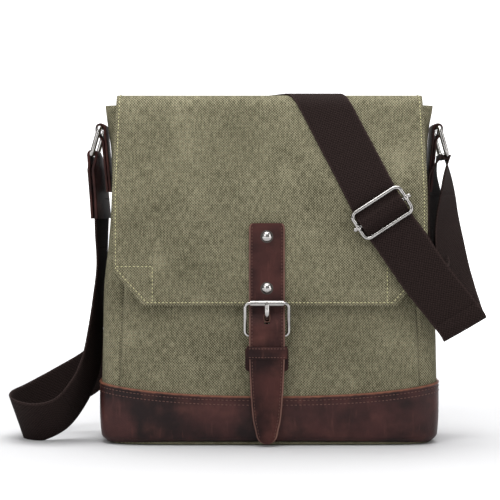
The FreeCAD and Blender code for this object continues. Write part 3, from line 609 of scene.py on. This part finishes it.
def flap_point(x, distance, lift):
    """A point over the flap's cloth, in metres: x across, distance from its rear edge, lift off it."""
    place = along_path(FLAP_PATH, distance, lift)
    droop = max(0.0, (distance / FLAP_LONG - 0.35) / 0.65)
    calm = 1 - math.exp(-((x - STRAP_X) / 26) ** 2)
    calm *= 0.2 + 0.8 / (1 + math.exp((x - 30) / 7))
    waver = noise.noise(Vector((x * 0.022, distance * 0.016, 4.0)))
    crease = noise.noise(Vector((x * 0.045 + distance * 0.03, distance * 0.02, 9.0)))
    ripple = (1.3 * waver + 0.7 * crease) * droop * calm
    return Vector((x, place.x - max(ripple, -0.6), place.y)) * MM


def flap_half_width(level):
    """Half the flap's width at a height: clipped at its lower corners, a little narrower at the top."""
    part = (FLAP_LOW + CLIP_HIGH - level) / CLIP_HIGH
    soft = (math.sqrt(part * part + 0.004) + part) / 2
    return FLAP_WIDE - CLIP_WIDE * min(soft, 1.0) - 2.0 * max(0.0, level - 195) / 75


def flap_layer(inset, lift):
    """One cloth layer of the flap, cut inset millimetres smaller and lying lift off the path."""
    stop = FLAP_LONG - inset

    def place(u, v):
        distance = stop * (1 - v)
        where = along_path(FLAP_PATH, distance)
        front = where.x < -30
        half = (flap_half_width(where.y) if front else FLAP_WIDE - 2.0) - inset
        x = half * (2 * u - 1)
        return flap_point(x, distance, lift), (x * MM, -distance * MM)
    return place


HINGE_START, HINGE_END = (0, 0.0335, 0.2600), (0, 0.0185, 0.2620)
CLOTH_LIFT, BACKING_LIFT = 3.0, 1.45
flap_cloth = make_piece(laid_grid(110, 130, flap_layer(0, CLOTH_LIFT)), "flap_canvas_layer",
                        canvas, 1.5 * MM)
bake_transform(flap_cloth)
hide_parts("flap_canvas", "flap_hinge_strip")
flap_back = make_piece(laid_grid(80, 110, flap_layer(1.0, BACKING_LIFT)), "flap_lining_layer",
                       lining_cloth, 0.7 * MM)
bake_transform(flap_back)
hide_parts("flap_lining", "flap_corner_patches")


def thread_colour(dark, light):
    """Twisted sewing thread, with painted shade between its plies, where its bump is low."""
    def build(tree):
        node = tree.nodes.new("ShaderNodeTexCoord")
        plies_and_painted_shade = flecks(tree, node.outputs["Object"], 2600, 2)
        return mixed(tree, plies_and_painted_shade, dark, light), plies_and_painted_shade, 0.0001, None
    return build


pale_thread = material("pale_thread", 0.7, thread_colour((0.42, 0.40, 0.20), (0.62, 0.58, 0.34)))
brown_thread = material("brown_thread", 0.7, thread_colour((0.075, 0.030, 0.023), (0.14, 0.058, 0.040)))


def stitches(name, paint, rows, pitch=2.9, long=2.1, wide=0.75):
    """Rows of thread stitches. Each row is a function of distance, its length and its normal."""
    work = bmesh.new()
    for place, length, outward in rows:
        count = max(1, int(length / pitch))
        for index in range(count):
            middle = (index + 0.5) * length / count
            here = place(middle)
            ahead = (place(middle + 0.6) - place(middle - 0.6)).normalized()
            out = outward(middle) if callable(outward) else Vector(outward)
            out = (out - ahead * out.dot(ahead)).normalized()
            turn = Matrix((ahead, out.cross(ahead), out)).transposed().to_4x4()
            shape = Matrix.Diagonal((long / 2 * MM, wide / 2 * MM, wide * 0.42 * MM, 1))
            where = Matrix.Translation(here + out * 0.0001)
            bmesh.ops.create_icosphere(work, subdivisions=1, radius=1, matrix=where @ turn @ shape)
    return make_piece(work, name, paint)


def flap_normal(distance):
    ahead = along_path(FLAP_PATH, distance + 1) - along_path(FLAP_PATH, distance - 1)
    return Vector((0, ahead.y, -ahead.x)).normalized()


STITCH_INSET = 2.7
FRONT_LIFT = 3.15
PATCH_HIGH = 30.5
clip_start = FLAP_LONG - CLIP_HIGH
rows = []
for side in (-1, 1):
    def edge_row(distance, side=side):
        level = along_path(FLAP_PATH, distance).y
        half = flap_half_width(max(level, FLAP_LOW + CLIP_HIGH + 6))
        return flap_point(side * (half - STITCH_INSET), distance, FRONT_LIFT)

    def clip_row(distance, side=side):
        share = distance / math.hypot(CLIP_WIDE, CLIP_HIGH)
        x = FLAP_WIDE - STITCH_INSET - 0.6 - CLIP_WIDE * share
        return flap_point(side * x, clip_start - 1.4 + (CLIP_HIGH - 0.6) * share, FRONT_LIFT)

    def patch_top(distance, side=side):
        return flap_point(side * (FLAP_WIDE - STITCH_INSET - distance), FLAP_LONG - PATCH_HIGH, FRONT_LIFT)

    def patch_side(distance, side=side):
        return flap_point(side * (FLAP_WIDE - 31), FLAP_LONG - PATCH_HIGH + distance, FRONT_LIFT)
    rows += [(edge_row, clip_start - 1, flap_normal), (clip_row, 34.0, (0, -1, 0)),
             (patch_top, 28.4, (0, -1, 0)), (patch_side, 27.6, (0, -1, 0))]


def hem_row(distance):
    return flap_point(distance - 95.5, FLAP_LONG - STITCH_INSET, FRONT_LIFT)


def back_row(distance):
    return flap_point(distance - 119, 3.0, FRONT_LIFT)


rows += [(hem_row, 191, (0, -1, 0)), (back_row, 238, (0, 1, 0))]
flap_thread = stitches("flap_stitching", pale_thread, rows)
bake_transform(flap_thread)


def band_row(drop):
    def place(distance):
        share = distance / GIRTH
        x = body_point(share, 40).x / MM
        return body_point(share, seam_level(x) - drop, 1.45)
    return place


def outward_at(distance):
    angle = section_angle(distance / GIRTH)
    return Vector((math.cos(angle) / 4, math.sin(angle), 0)).normalized()


band_thread = stitches("band_stitching", brown_thread,
                       [(band_row(3.0), GIRTH, outward_at), (band_row(6.6), GIRTH, outward_at)], 3.0, 2.1)
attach(band_thread, "bag")

# Closing strap: one strip of bridle-weight leather, riveted to the flap, passed behind the roller,
# over the buckle's hinge bar and through the keeper, down to a rounded tip just off the floor.
STRAP_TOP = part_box("closing_strap")[1].z / MM
STRAP_PATH = rounded_path([(-49.5, STRAP_TOP), (-49.5, 105), (-54.9, 93), (-54.2, 66), (-49.6, 24),
                           (-48.0, 2.4)], [14, 12, 60, 60])
STRAP_LONG = STRAP_PATH[1][-1]


def strap_point(across, distance, lift):
    place = along_path(STRAP_PATH, distance, lift)
    return Vector((STRAP_X + across, place.x, place.y)) * MM


STRAP_TAPER = ((0, 11.2), (1, 12.5), (2.4, 13.2), (5, 13.5), (100, 13.5), (117, 13.0),
               (136, 12.0), (152, 10.6), (164, 8.2))
TAPER_LONG, TIP_ROUND = 171, 9


def strap_half_width(distance):
    """Half the strap's width: a little rounded at the top, tapered and rounded at the tip."""
    from_tip = STRAP_LONG - distance
    tip = (1 - max(0.0, 1 - from_tip / TIP_ROUND) ** 2.2) ** 0.5 if from_tip < TIP_ROUND else 1.0
    return between(STRAP_TAPER, distance * TAPER_LONG / STRAP_LONG)[0] * max(tip, 0.2)


SLOT_HALF, SLOT_LOW, SLOT_HIGH = 2.2, 95.8, 102.4


def strap_layer(u, v):
    """The strap's face, with two columns of its grid on the sides of the tongue's slot."""
    distance = STRAP_LONG * (1 - v)
    half = strap_half_width(distance)
    out = abs(2 * u - 1)
    x = SLOT_HALF * out * 8 if out <= 0.125 else SLOT_HALF + (half - SLOT_HALF) * (out - 0.125) / 0.875
    x = math.copysign(x, 2 * u - 1)
    return strap_point(x, distance, 2.2 + 0.25 * (1 - out ** 4)), (x * MM, -distance * MM)


work = laid_grid(16, 200, strap_layer)
slot_faces = [face for face in work.faces
              if abs(face.calc_center_median().x / MM - STRAP_X) < SLOT_HALF
              and SLOT_LOW < face.calc_center_median().z / MM < SLOT_HIGH]
bmesh.ops.delete(work, geom=slot_faces, context="FACES")
strap_body = make_piece(work, "closing_strap_leather", strap_leather, 2.2 * MM, -1, 0.35 * MM)
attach(strap_body, "flap")
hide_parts("closing_strap")

slot_middle = (SLOT_LOW + SLOT_HIGH) / 2
slot_distance = min(range(int(STRAP_LONG)), key=lambda d: abs(along_path(STRAP_PATH, d).y - slot_middle))


def slot_rim(share):
    """The rim round the tongue's slot, with rounded corners."""
    angle = 2 * math.pi * share
    c, s = math.cos(angle), math.sin(angle)
    across = 2.3 * math.copysign(abs(c) ** 0.6, c)
    along = (SLOT_HIGH - SLOT_LOW + 0.2) / 2 * math.copysign(abs(s) ** 0.6, s)
    return strap_point(across, slot_distance + along, 2.4)


EDGE_TURN = ((0, -0.1, 0.1), (0.45, 0.3, 1.2), (0.75, 0.1, 2.35), (1, -0.9, 2.52))


def burnished(side):
    """The strap's burnished edge, turned a little over its face."""
    def place(u, v):
        distance = 0.4 + (STRAP_LONG - 0.6) * (1 - v)
        out, lift = between(EDGE_TURN, u if side < 0 else 1 - u)
        return strap_point(side * (strap_half_width(distance) + out), distance, lift), (u, v)
    return place


for side, label in ((-1, "left"), (1, "right")):
    trim = make_piece(laid_grid(8, 150, burnished(side)), f"strap_edge_{label}", edge_leather_and_highlight)
    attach(trim, "flap")

rim = tube_ring("buckle_hole_rim", edge_leather_and_highlight, 0.32 * MM, slot_rim, 40)
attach(rim, "flap")


def strap_row(side):
    def place(distance):
        at = distance + 2.4
        return strap_point(side * (strap_half_width(at) - 2.0), at, 2.42)
    return place


strap_thread = stitches("strap_stitching", brown_thread,
                        [(strap_row(side), STRAP_LONG - 7, (0, -1, 0)) for side in (-1, 1)], 2.5, 1.8, 0.6)
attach(strap_thread, "flap")


# Metal: polished nickel rivets, roller buckle, side rings and slider, with dull worn patches. The
# buckle's tongue is bent wire, and each rivet's dome sits in a shallow collar of near-black nickel,
# which is painted shade under the dome.
def nickel_plate(tree):
    node = tree.nodes.new("ShaderNodeTexCoord")
    tarnish = flecks(tree, node.outputs["Object"], 120, 5)
    colour = mixed(tree, spread(tree, tarnish, 0.4, 0.75), (0.46, 0.445, 0.43), (0.25, 0.24, 0.23))
    rough = sums(tree, "ADD", sums(tree, "MULTIPLY", tarnish, 0.20), 0.05)
    return colour, flecks(tree, node.outputs["Object"], 900, 2), 0.00003, rough


# Painted shade: the rivets' collars take a near-black copy of the nickel, standing in for the shade under
# each dome; its tarnish noise only varies that shade a little.
def painted_shade_nickel(tree):
    node = tree.nodes.new("ShaderNodeTexCoord")
    tarnish = flecks(tree, node.outputs["Object"], 120, 5)
    return mixed(tree, tarnish, (0.05, 0.045, 0.04), (0.12, 0.11, 0.10)), tarnish, 0.00003, None


nickel = material("nickel_plate", 0.16, nickel_plate)
painted_shade_metal = material("painted_shade_nickel", 0.4, painted_shade_nickel)
for paint in (nickel, painted_shade_metal):
    paint.node_tree.nodes["Principled BSDF"].inputs["Metallic"].default_value = 1.0
for node in ("rivets", "rivet_washers", "buckle_frame", "buckle_roller", "snap_socket", "snap_stud",
             "side_ring_left", "side_ring_right", "slider_frame", "slider_bar"):
    on_material(node, nickel)

TONGUE_HALF, TONGUE_THICK = 1.65, 0.95
TONGUE_PATH = rounded_path([(-51.7, 85.4), (-51.9, 96.5), (-58.8, 103.5), (-58.7, 113.0)], [5, 4])


def tongue(u, v):
    """The buckle's tongue: flat on its eye, up through the strap's hole and over the roller."""
    angle = 2 * math.pi * u
    taper = min(1.0, 0.35 + (1 - v) * 9)
    across = TONGUE_HALF * taper * math.cos(angle)
    deep = TONGUE_THICK * math.sin(angle)
    place = along_path(TONGUE_PATH, TONGUE_PATH[1][-1] * v, deep)
    return Vector((STRAP_X + across, place.x, place.y)) * MM, (u, v)


work = laid_grid(16, 60, tongue)
bmesh.ops.remove_doubles(work, verts=work.verts, dist=1e-6)
bmesh.ops.holes_fill(work, edges=[edge for edge in work.edges if edge.is_boundary], sides=0)
bmesh.ops.recalc_face_normals(work, faces=work.faces)
tongue_piece = make_piece(work, "buckle_tongue", nickel, 0, -1, 0.2 * MM)
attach(tongue_piece, "prong")
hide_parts("buckle_prong")

COLLAR_RADIUS, COLLAR_RISE, COLLAR_NARROW = 5.2, 0.45, 0.8
RIVET_LEVELS = {"upper": 162.6, "lower": 122.9}
rivet_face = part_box("rivets")[0].y + 2.0 * MM
for label, level in RIVET_LEVELS.items():
    collar = bmesh.new()
    bmesh.ops.create_circle(collar, segments=32, radius=COLLAR_RADIUS * MM)
    profile = bmesh.ops.extrude_edge_only(collar, edges=collar.edges[:])
    risen = [item for item in profile["geom"] if isinstance(item, bmesh.types.BMVert)]
    bmesh.ops.translate(collar, verts=risen, vec=(0, 0, COLLAR_RISE * MM))
    bmesh.ops.scale(collar, verts=risen, vec=(COLLAR_NARROW, COLLAR_NARROW, 1))
    bmesh.ops.recalc_face_normals(collar, faces=collar.faces)
    bmesh.ops.transform(collar, verts=collar.verts, matrix=Matrix.Translation(
        (STRAP_X * MM, rivet_face, level * MM)) @ Matrix.Rotation(math.pi / 2, 4, "X"))
    cup = make_piece(collar, f"rivet_collar_{label}", painted_shade_metal, 0.3 * MM)
    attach(cup, "flap")

# Keeper, chape and closure patch: short leather pieces. The keeper is a loop, stitched along both
# edges, that holds the strap's tail; the chape wraps the buckle's bar; the patch backs the snap.
on_material("buckle_chape", strap_leather)
keeper_low, keeper_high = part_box("strap_keeper")
KEEPER_HALF = (keeper_high.x - keeper_low.x) / 2 / MM
KEEPER_FRONT, KEEPER_REAR = keeper_low.y / MM + 0.3, keeper_high.y / MM - 0.2


def keeper_band(u, v):
    """The keeper's outside: a flat loop round the strap, raised along its two rows of stitches."""
    angle = 2 * math.pi * u
    c, s = math.cos(angle), math.sin(angle)
    x = (KEEPER_HALF - 0.3) * math.copysign(abs(c) ** 0.28, c)
    depth = (KEEPER_FRONT - KEEPER_REAR) / 2
    y = (KEEPER_FRONT + KEEPER_REAR) / 2 - depth * math.copysign(abs(s) ** 0.4, s)
    ridge = 0.35 * math.exp(-((v - 0.22) / 0.1) ** 2) + 0.35 * math.exp(-((v - 0.78) / 0.1) ** 2)
    y -= ridge * (1 if y < -53 else -1)
    level = keeper_low.z + (keeper_high.z - keeper_low.z) * v
    return Vector(((STRAP_X + x) * MM, y * MM, level)), (u * 0.08, v * 0.0093)


work = laid_grid(64, 14, keeper_band)
bmesh.ops.remove_doubles(work, verts=work.verts, dist=1e-6)
keeper = make_piece(work, "keeper_loop", strap_leather, 1.4 * MM, -1, 0.3 * MM)
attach(keeper, "flap")
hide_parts("strap_keeper")


def keeper_row(share):
    def place(distance):
        across = distance - KEEPER_HALF + 1.6
        level = keeper_low.z + (keeper_high.z - keeper_low.z) * share
        return Vector(((STRAP_X + across) * MM, (KEEPER_FRONT - 0.15) * MM, level))
    return place


keeper_thread = stitches("keeper_stitching", brown_thread, [
    (keeper_row(share), 2 * KEEPER_HALF - 3.2, (0, -1, 0)) for share in (0.14, 0.86)], 2.4, 1.7, 0.6)
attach(keeper_thread, "flap")

patch_low, patch_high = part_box("closure_patch")
work = bmesh.new()
middle = (patch_low + patch_high) / 2
bmesh.ops.create_cube(work, size=1, matrix=Matrix.Translation(middle) @ Matrix.Diagonal(
    (*(patch_high - patch_low), 1)))
corners = [edge for edge in work.edges if abs(edge.verts[0].co.y - edge.verts[1].co.y) > 1e-4]
bmesh.ops.bevel(work, geom=corners, offset=3 * MM, segments=5, profile=0.5, affect="EDGES", material=-1)
patch = make_piece(work, "closure_patch_leather", strap_leather, 0, -1, 0.5 * MM)
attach(patch, "bag")
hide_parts("closure_patch")

# Side tabs and the strap's leather end: short straps of the same leather, folded round the side
# rings. The tabs are sewn to the gussets; the strap's end takes the webbing between its two plies.
TAB_WIDE, TAB_THICK, TAB_LOW = 30, 1.7, 197
TAB_RING_X, TAB_RING_Z, TAB_LOOP = 133.4, 247.5, 3.1


def side_tab(side):
    """A tab as a path in the XZ plane: up the gusset, over the ring's bar and down again."""
    bar = side * TAB_RING_X
    path = rounded_path([(side * 125.6, TAB_LOW), (bar - side * (TAB_LOOP + 0.4), TAB_RING_Z - 4),
                         (bar - side * TAB_LOOP, TAB_RING_Z + TAB_LOOP),
                         (bar + side * TAB_LOOP, TAB_RING_Z + TAB_LOOP),
                         (bar + side * TAB_LOOP, TAB_RING_Z - TAB_LOOP - 1.0),
                         (bar - side * 1.6, TAB_RING_Z - 9), (side * 127.9, TAB_LOW)],
                        [6, 2.9, 2.9, 3.0, 5])
    long = path[1][-1]

    def place(u, v):
        spot = along_path(path, long * v)
        across = TAB_WIDE * (u - 0.5)
        return Vector((spot.x, across, spot.y)) * MM, (across * MM, long * v * MM)
    return place


for side, name in ((-1, "left"), (1, "right")):
    tab = make_piece(laid_grid(16, 90, side_tab(side)), f"side_tab_{name}_leather", strap_leather,
                     TAB_THICK * MM, 0, 0.3 * MM)
    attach(tab, "bag")
    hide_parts(f"side_tab_{name}")

END_WIDE, END_LOW = 39, 176
ring_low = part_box("side_ring_left")[0]
end_x, end_z = ring_low.x / MM + 1.9, ring_low.z / MM + 1.9
END_PATH = rounded_path([(end_x + 1.8, END_LOW), (end_x + 1.8, end_z - 9), (end_x + 3.2, end_z - 1),
                         (end_x + 3.1, end_z + 3.1), (end_x - 3.1, end_z + 3.1),
                         (end_x - 3.2, end_z - 1), (end_x - 1.8, end_z - 9), (end_x - 1.8, END_LOW)],
                        [12, 8, 2.9, 2.9, 8, 12])
END_LONG = END_PATH[1][-1]


def end_fold(u, v):
    """The strap's leather end: folded over the ring, turned a little and hanging outwards."""
    spot = along_path(END_PATH, END_LONG * v)
    across = END_WIDE * (u - 0.5)
    low = min(1.0, max(0.0, (end_z - spot.y) / 48))
    turn = Matrix.Rotation(-math.radians(9 + 2 * low) * min(1, 4 * low), 2)
    turned = turn @ Vector((spot.x - end_x, across))
    shift = 5.0 * low ** 0.7
    return Vector((end_x + turned.x + shift, turned.y, spot.y)) * MM, (across * MM, END_LONG * v * MM)


fold = make_piece(laid_grid(16, 120, end_fold), "strap_end_fold", strap_leather, 2.0 * MM, 0, 0.3 * MM)
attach(fold, "strap_end")
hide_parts("strap_end_leather")

# Webbing: one 38 mm wide ribbed cotton strap. It runs from the slider up over the flap, down the
# back, in a loop on the floor and up to the leather end, and from the slider round the right ring.
def webbing_rib(tree):
    flat, across, along = flat_place(tree)
    wander = sums(tree, "MULTIPLY", flecks(tree, flat, 150, 2), 2.0)
    rib = sums(tree, "SINE", sums(tree, "ADD", sums(tree, "MULTIPLY", along, 2 * math.pi / 0.0026), wander))
    cord = sums(tree, "SINE", sums(tree, "MULTIPLY", across, 2 * math.pi / 0.0024))
    fuzz = flecks(tree, flat, 900, 3)
    level = sums(tree, "ADD", sums(tree, "MULTIPLY", sums(tree, "MULTIPLY", rib, cord), 0.35), fuzz)
    border = spread(tree, sums(tree, "ABSOLUTE", across), 0.0172, 0.0182)
    tone = sums(tree, "ADD", level, sums(tree, "MULTIPLY", border, 0.4))
    colour = mixed(tree, spread(tree, tone, 0.1, 1.2), (0.0068, 0.0040, 0.0036), (0.034, 0.0218, 0.0200))
    return colour, level, 0.0005, None


webbing = material("dark_webbing", 0.92, webbing_rib, 0.08)


def smooth_line(points, knots, spot):
    """A smooth curve through points with uneven knots, at one place between the knots."""
    index = min(max(bisect.bisect_right(knots, spot) - 1, 0), len(points) - 2)
    slopes = []
    for at in (index, index + 1):
        before, after = max(at - 1, 0), min(at + 1, len(points) - 1)
        if before == at or after == at:
            slopes.append((points[after] - points[before]) / (knots[after] - knots[before]))
            continue
        left_gap, right_gap = knots[at] - knots[before], knots[after] - knots[at]
        left_slope = (points[at] - points[before]) / left_gap
        right_slope = (points[after] - points[at]) / right_gap
        slopes.append((left_slope * right_gap + right_slope * left_gap) / (left_gap + right_gap))
    gap = knots[index + 1] - knots[index]
    t = (spot - knots[index]) / gap
    return (points[index] * (2 * t ** 3 - 3 * t * t + 1) + slopes[0] * (gap * (t ** 3 - 2 * t * t + t))
            + points[index + 1] * (3 * t * t - 2 * t ** 3) + slopes[1] * (gap * (t ** 3 - t * t)))


WEB_HALF, WEB_THICK = 19.0, 1.5


def webbing_piece(name, place, long, ride, blend, nodes):
    """One sheet of webbing from a place function, given its thickness."""
    rows = max(8, int(long / 2.5))
    piece = make_piece(laid_grid(10, rows, place), name, webbing, WEB_THICK * MM, 0)
    piece.modifiers.new("even_shading", "WEIGHTED_NORMAL").weight = 90
    if blend:
        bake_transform(piece)
    else:
        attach(piece, ride)
    if nodes:
        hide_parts(*nodes)


def webbing_run(name, stations, first, last, ride=None, blend=None, nodes=()):
    """Webbing from one station to another of a run given by pairs of points on its edges."""
    lefts = [Vector(pair[0]) for pair in stations]
    rights = [Vector(pair[1]) for pair in stations]
    knots = [0.0]
    for index in range(1, len(stations)):
        gap = (lefts[index] + rights[index] - lefts[index - 1] - rights[index - 1]).length / 2
        knots.append(knots[-1] + gap)

    def knot_at(station):
        index = min(int(station), len(knots) - 2)
        return knots[index] + (knots[index + 1] - knots[index]) * (station - index)
    start, end = knot_at(first), knot_at(last)

    def edges(spot):
        left, right = smooth_line(lefts, knots, spot), smooth_line(rights, knots, spot)
        return (left + right) / 2, (right - left).normalized()

    def place(u, v):
        spot = start + (end - start) * v
        middle, across = edges(spot)
        ahead = edges(min(spot + 0.5, knots[-1]))[0] - edges(max(spot - 0.5, 0.0))[0]
        out = across.cross(ahead).normalized()
        x = WEB_HALF * (2 * u - 1)
        cup = 0.25 * (1 - (2 * u - 1) ** 2)
        return (middle + across * x + out * cup) * MM, (x * MM, spot * MM)
    webbing_piece(name, place, end - start, ride, blend, nodes)


WEB_LIFT = 3.85
CREST = next(d for d in range(20, 200) if along_path(FLAP_PATH, d).x < -17.7)
lifted = [along_path(FLAP_PATH, d, WEB_LIFT) for d in range(int(FLAP_LONG))]
lifted_lengths = [0.0]
for one, two in zip(lifted, lifted[1:]):
    lifted_lengths.append(lifted_lengths[-1] + (two - one).length)


def over_flap(across, along):
    """The strap laid slantwise over the flap: across its width, along it from the front crest."""
    x = 34.6 + 0.44 * along + 0.898 * across
    if along < 0:
        x -= 0.0012 * along ** 2
    reach = lifted_lengths[CREST] + 0.898 * along - 0.44 * across
    index = min(max(bisect.bisect_right(lifted_lengths, reach) - 1, 0), len(lifted) - 2)
    part = (reach - lifted_lengths[index]) / (lifted_lengths[index + 1] - lifted_lengths[index])
    return flap_point(x, index + part, WEB_LIFT)


def laid_run(name, start, end, ride=None, blend=None, nodes=()):
    """A run of webbing laid on the flap, between two distances along it."""
    def place(u, v):
        along = start + (end - start) * v
        x = WEB_HALF * (1 - 2 * u)
        return over_flap(x, along), (x * MM, -along * MM)
    webbing_piece(name, place, end - start, ride, blend, nodes)


REAR_END, BLEND_FROM, FRONT_END = -74.0, -30.0, 120.0
laid_run("strap_over_crest", REAR_END, BLEND_FROM, None, ("bag", "flap", HINGE_START, HINGE_END),
         ("webbing_crest",))
laid_run("strap_over_flap", BLEND_FROM, FRONT_END, "flap", None, ("webbing_front_upper",))


def laid_edges(along):
    return tuple(over_flap(side * WEB_HALF, along) / MM for side in (-1, 1))


back_run = [
    laid_edges(REAR_END), laid_edges(REAR_END - 8),
    ((-49.0, 41.5, 219.0), (-18.0, 42.0, 197.0)),
    ((-84.0, 47.8, 171.0), (-55.0, 47.8, 146.5)),
    ((-113.0, 48.2, 129.0), (-88.0, 48.2, 100.5)),
    ((-131.0, 49.4, 92.5), (-113.0, 49.0, 59.0)),
    ((-150.0, 49.0, 68.0), (-142.0, 48.0, 31.5)),
    ((-177.0, 41.0, 51.5), (-174.0, 34.0, 14.4)),
    ((-199.0, 25.0, 40.0), (-191.0, 21.0, 3.4)),
    ((-207.0, 4.0, 36.0), (-197.5, 5.0, 1.2)),
    ((-202.5, -20.0, 32.0), (-192.0, -9.0, 1.2)),
    ((-187.0, -33.0, 30.0), (-181.0, -15.0, 1.2)),
    ((-170.0, -34.0, 34.0), (-163.0, -8.0, 8.0)),
    ((-156.0, -29.0, 48.0), (-147.0, 2.0, 28.0)),
    ((-147.0, -22.0, 68.0), (-137.5, 12.0, 54.0)),
    ((-142.5, -18.6, 90.0), (-135.6, 17.6, 82.0)),
    ((-138.9, -18.8, 113.0), (-134.4, 18.8, 109.0)),
    ((-135.8, -19.0, 140.0), (-132.0, 19.0, 139.0)),
    ((-136.9, -18.8, 165.0), (-130.9, 18.9, 165.0)),
    ((-137.6, -18.6, 192.0), (-129.9, 18.6, 192.0))]
webbing_run("strap_down_back", back_run, 0, 12.5, "bag", None, ("webbing_back_run", "webbing_floor_loop"))
webbing_run("strap_left_drop", back_run, 12.5, 17.5, None,
            ("bag", "ring_left", (-0.138, 0, 0.044), (-0.138, 0, 0.150)), ("webbing_left_drop",))
webbing_run("strap_into_end", back_run, 17.5, 19, None,
            ("ring_left", "strap_end", (-0.136, 0, 0.154), (-0.136, 0, 0.184)))

# Slider side of the strap: from the right ring the outer ply hangs to a fold at the lower right and
# comes back up to the slider, while the other ply turns behind it and goes on over the flap.
right_low, right_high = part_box("side_ring_right")
bar_x, bar_z = right_high.x / MM - 1.9, right_low.z / MM + 1.9
outer_run = [
    ((bar_x + 2.9, -19.0, bar_z), (bar_x + 2.9, 19.0, bar_z)),
    ((138.2, -18.8, 212.0), (147.0, 18.2, 212.0)),
    ((135.0, -18.8, 195.0), (150.6, 16.0, 195.0)),
    ((132.4, -20.5, 182.0), (152.0, 12.0, 182.0)),
    ((129.6, -32.0, 157.0), (154.4, -4.0, 160.0)),
    ((135.4, -40.0, 124.0), (159.8, -13.5, 131.0)),
    ((133.2, -46.6, 97.0), (162.4, -33.5, 115.5)),
    ((132.0, -47.2, 87.0), (165.0, -44.0, 106.0)),
    ((133.4, -49.8, 81.6), (167.4, -49.8, 101.2)),
    ((131.5, -52.4, 84.9), (165.5, -52.4, 104.5)),
    ((126.0, -52.4, 92.6), (159.2, -52.4, 112.4)),
    ((103.5, -52.2, 121.5), (135.4, -52.2, 142.2)),
    ((88.5, -52.2, 143.2), (120.4, -52.2, 163.9)),
    ((73.6, -52.1, 164.9), (105.4, -52.1, 185.7)),
    ((69.0, -52.1, 172.0), (100.8, -52.1, 192.8))]
webbing_run("strap_from_ring", outer_run, 0, 2, None,
            ("ring_right", "bag", (0.140, 0, 0.224), (0.140, 0, 0.194)), ("webbing_right_outer",))
webbing_run("strap_to_fold", outer_run, 2, 10, None,
            ("bag", "flap", (0.142, 0, 0.186), (0.150, 0, 0.112)))
webbing_run("strap_front_ply", outer_run, 10, 14, "flap", None, ("webbing_front_lower",))
inner_run = [
    ((bar_x - 2.9, -19.0, bar_z), (bar_x - 2.9, 19.0, bar_z)),
    ((127.2, -18.2, 213.0), (135.8, 18.5, 213.0)),
    ((125.4, -18.0, 195.0), (139.4, 17.5, 195.0)),
    ((125.0, -19.0, 182.0), (140.6, 15.6, 183.0)),
    ((124.8, -28.5, 157.0), (141.0, 5.5, 164.0)),
    ((122.8, -49.6, 131.5), (140.5, -21.5, 148.0)),
    ((105.8, -50.6, 120.8), (136.5, -45.5, 140.0)),
    ((99.5, -50.6, 127.5), (131.0, -50.6, 148.0)),
    ((88.0, -50.5, 145.5), (119.5, -50.5, 166.0)),
    laid_edges(FRONT_END)]
webbing_run("strap_inner_top", inner_run, 0, 2, None,
            ("ring_right", "bag", (0.134, 0, 0.224), (0.134, 0, 0.188)), ("webbing_right_inner",))
webbing_run("strap_inner_ply", inner_run, 2, 5.5, None,
            ("bag", "flap", (0.142, 0, 0.180), (0.128, 0, 0.137)))
webbing_run("strap_under_ply", inner_run, 5.5, 9, "flap")
WRAP_RADIUS = 3.0


def ring_wrap(u, v):
    """The half turn of webbing under the right ring's bar, joining the two plies."""
    angle = math.pi * v
    across = 2 * WEB_HALF * (u - 0.5)
    where = Vector((bar_x - WRAP_RADIUS * math.cos(angle), across, bar_z - WRAP_RADIUS * math.sin(angle)))
    return where * MM, (across * MM, 9.4 * v * MM)


wrap = make_piece(laid_grid(8, 16, ring_wrap), "strap_round_ring", webbing, WEB_THICK * MM, 0)
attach(wrap, "ring_right")
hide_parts("webbing_ring_wrap")

# Slider: the webbing's end goes over the middle bar and down again behind the frame. The bar is held
# in the wire frame by a crimped collar at each end, with a small ball outside it.
slider_low, slider_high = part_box("slider_frame")
slider_middle = (slider_low + slider_high) / 2
SLIDER_TURN = Matrix.Rotation(math.radians(-33), 4, "Y")
HUMP_PATH = rounded_path([(-12.5, 2.3), (-6.6, 1.7), (-2.6, -2.3), (2.6, -2.3), (6.6, 1.7), (12.5, 2.3)],
                         [3.0, 2.2, 2.2, 3.0])
HUMP_LONG = HUMP_PATH[1][-1]


def hump(u, v):
    """The webbing's end: down through the frame, over the bar and down again."""
    spot = along_path(HUMP_PATH, HUMP_LONG * v)
    across = 37.6 * (u - 0.5)
    where = SLIDER_TURN @ (Vector((across, spot.y, spot.x)) * MM)
    return where + slider_middle, (across * MM, HUMP_LONG * v * MM)


loop = make_piece(laid_grid(12, 60, hump), "webbing_over_bar", webbing, WEB_THICK * MM, 0)
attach(loop, "slider")
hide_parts("slider_webbing_loop")

CRIMP_X, CRIMP_RADIUS, CRIMP_LONG, BALL_RADIUS = 21.5, 2.35, 3.4, 1.7
collars = bmesh.new()
for side in (-1, 1):
    middle = Vector((side * CRIMP_X, 0, 0)) * MM
    bmesh.ops.create_cone(collars, segments=24, radius1=CRIMP_RADIUS * MM, radius2=CRIMP_RADIUS * MM,
                          depth=CRIMP_LONG * MM, cap_ends=True, matrix=Matrix.Translation(middle))
    bmesh.ops.create_uvsphere(collars, u_segments=16, v_segments=10, radius=BALL_RADIUS * MM,
                              matrix=Matrix.Translation(middle * 1.13))
bmesh.ops.transform(collars, verts=collars.verts, matrix=Matrix.Translation(slider_middle) @ SLIDER_TURN)
collar_piece = make_piece(collars, "slider_bar_collars", nickel, 0, -1, 0.3 * MM)
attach(collar_piece, "slider")
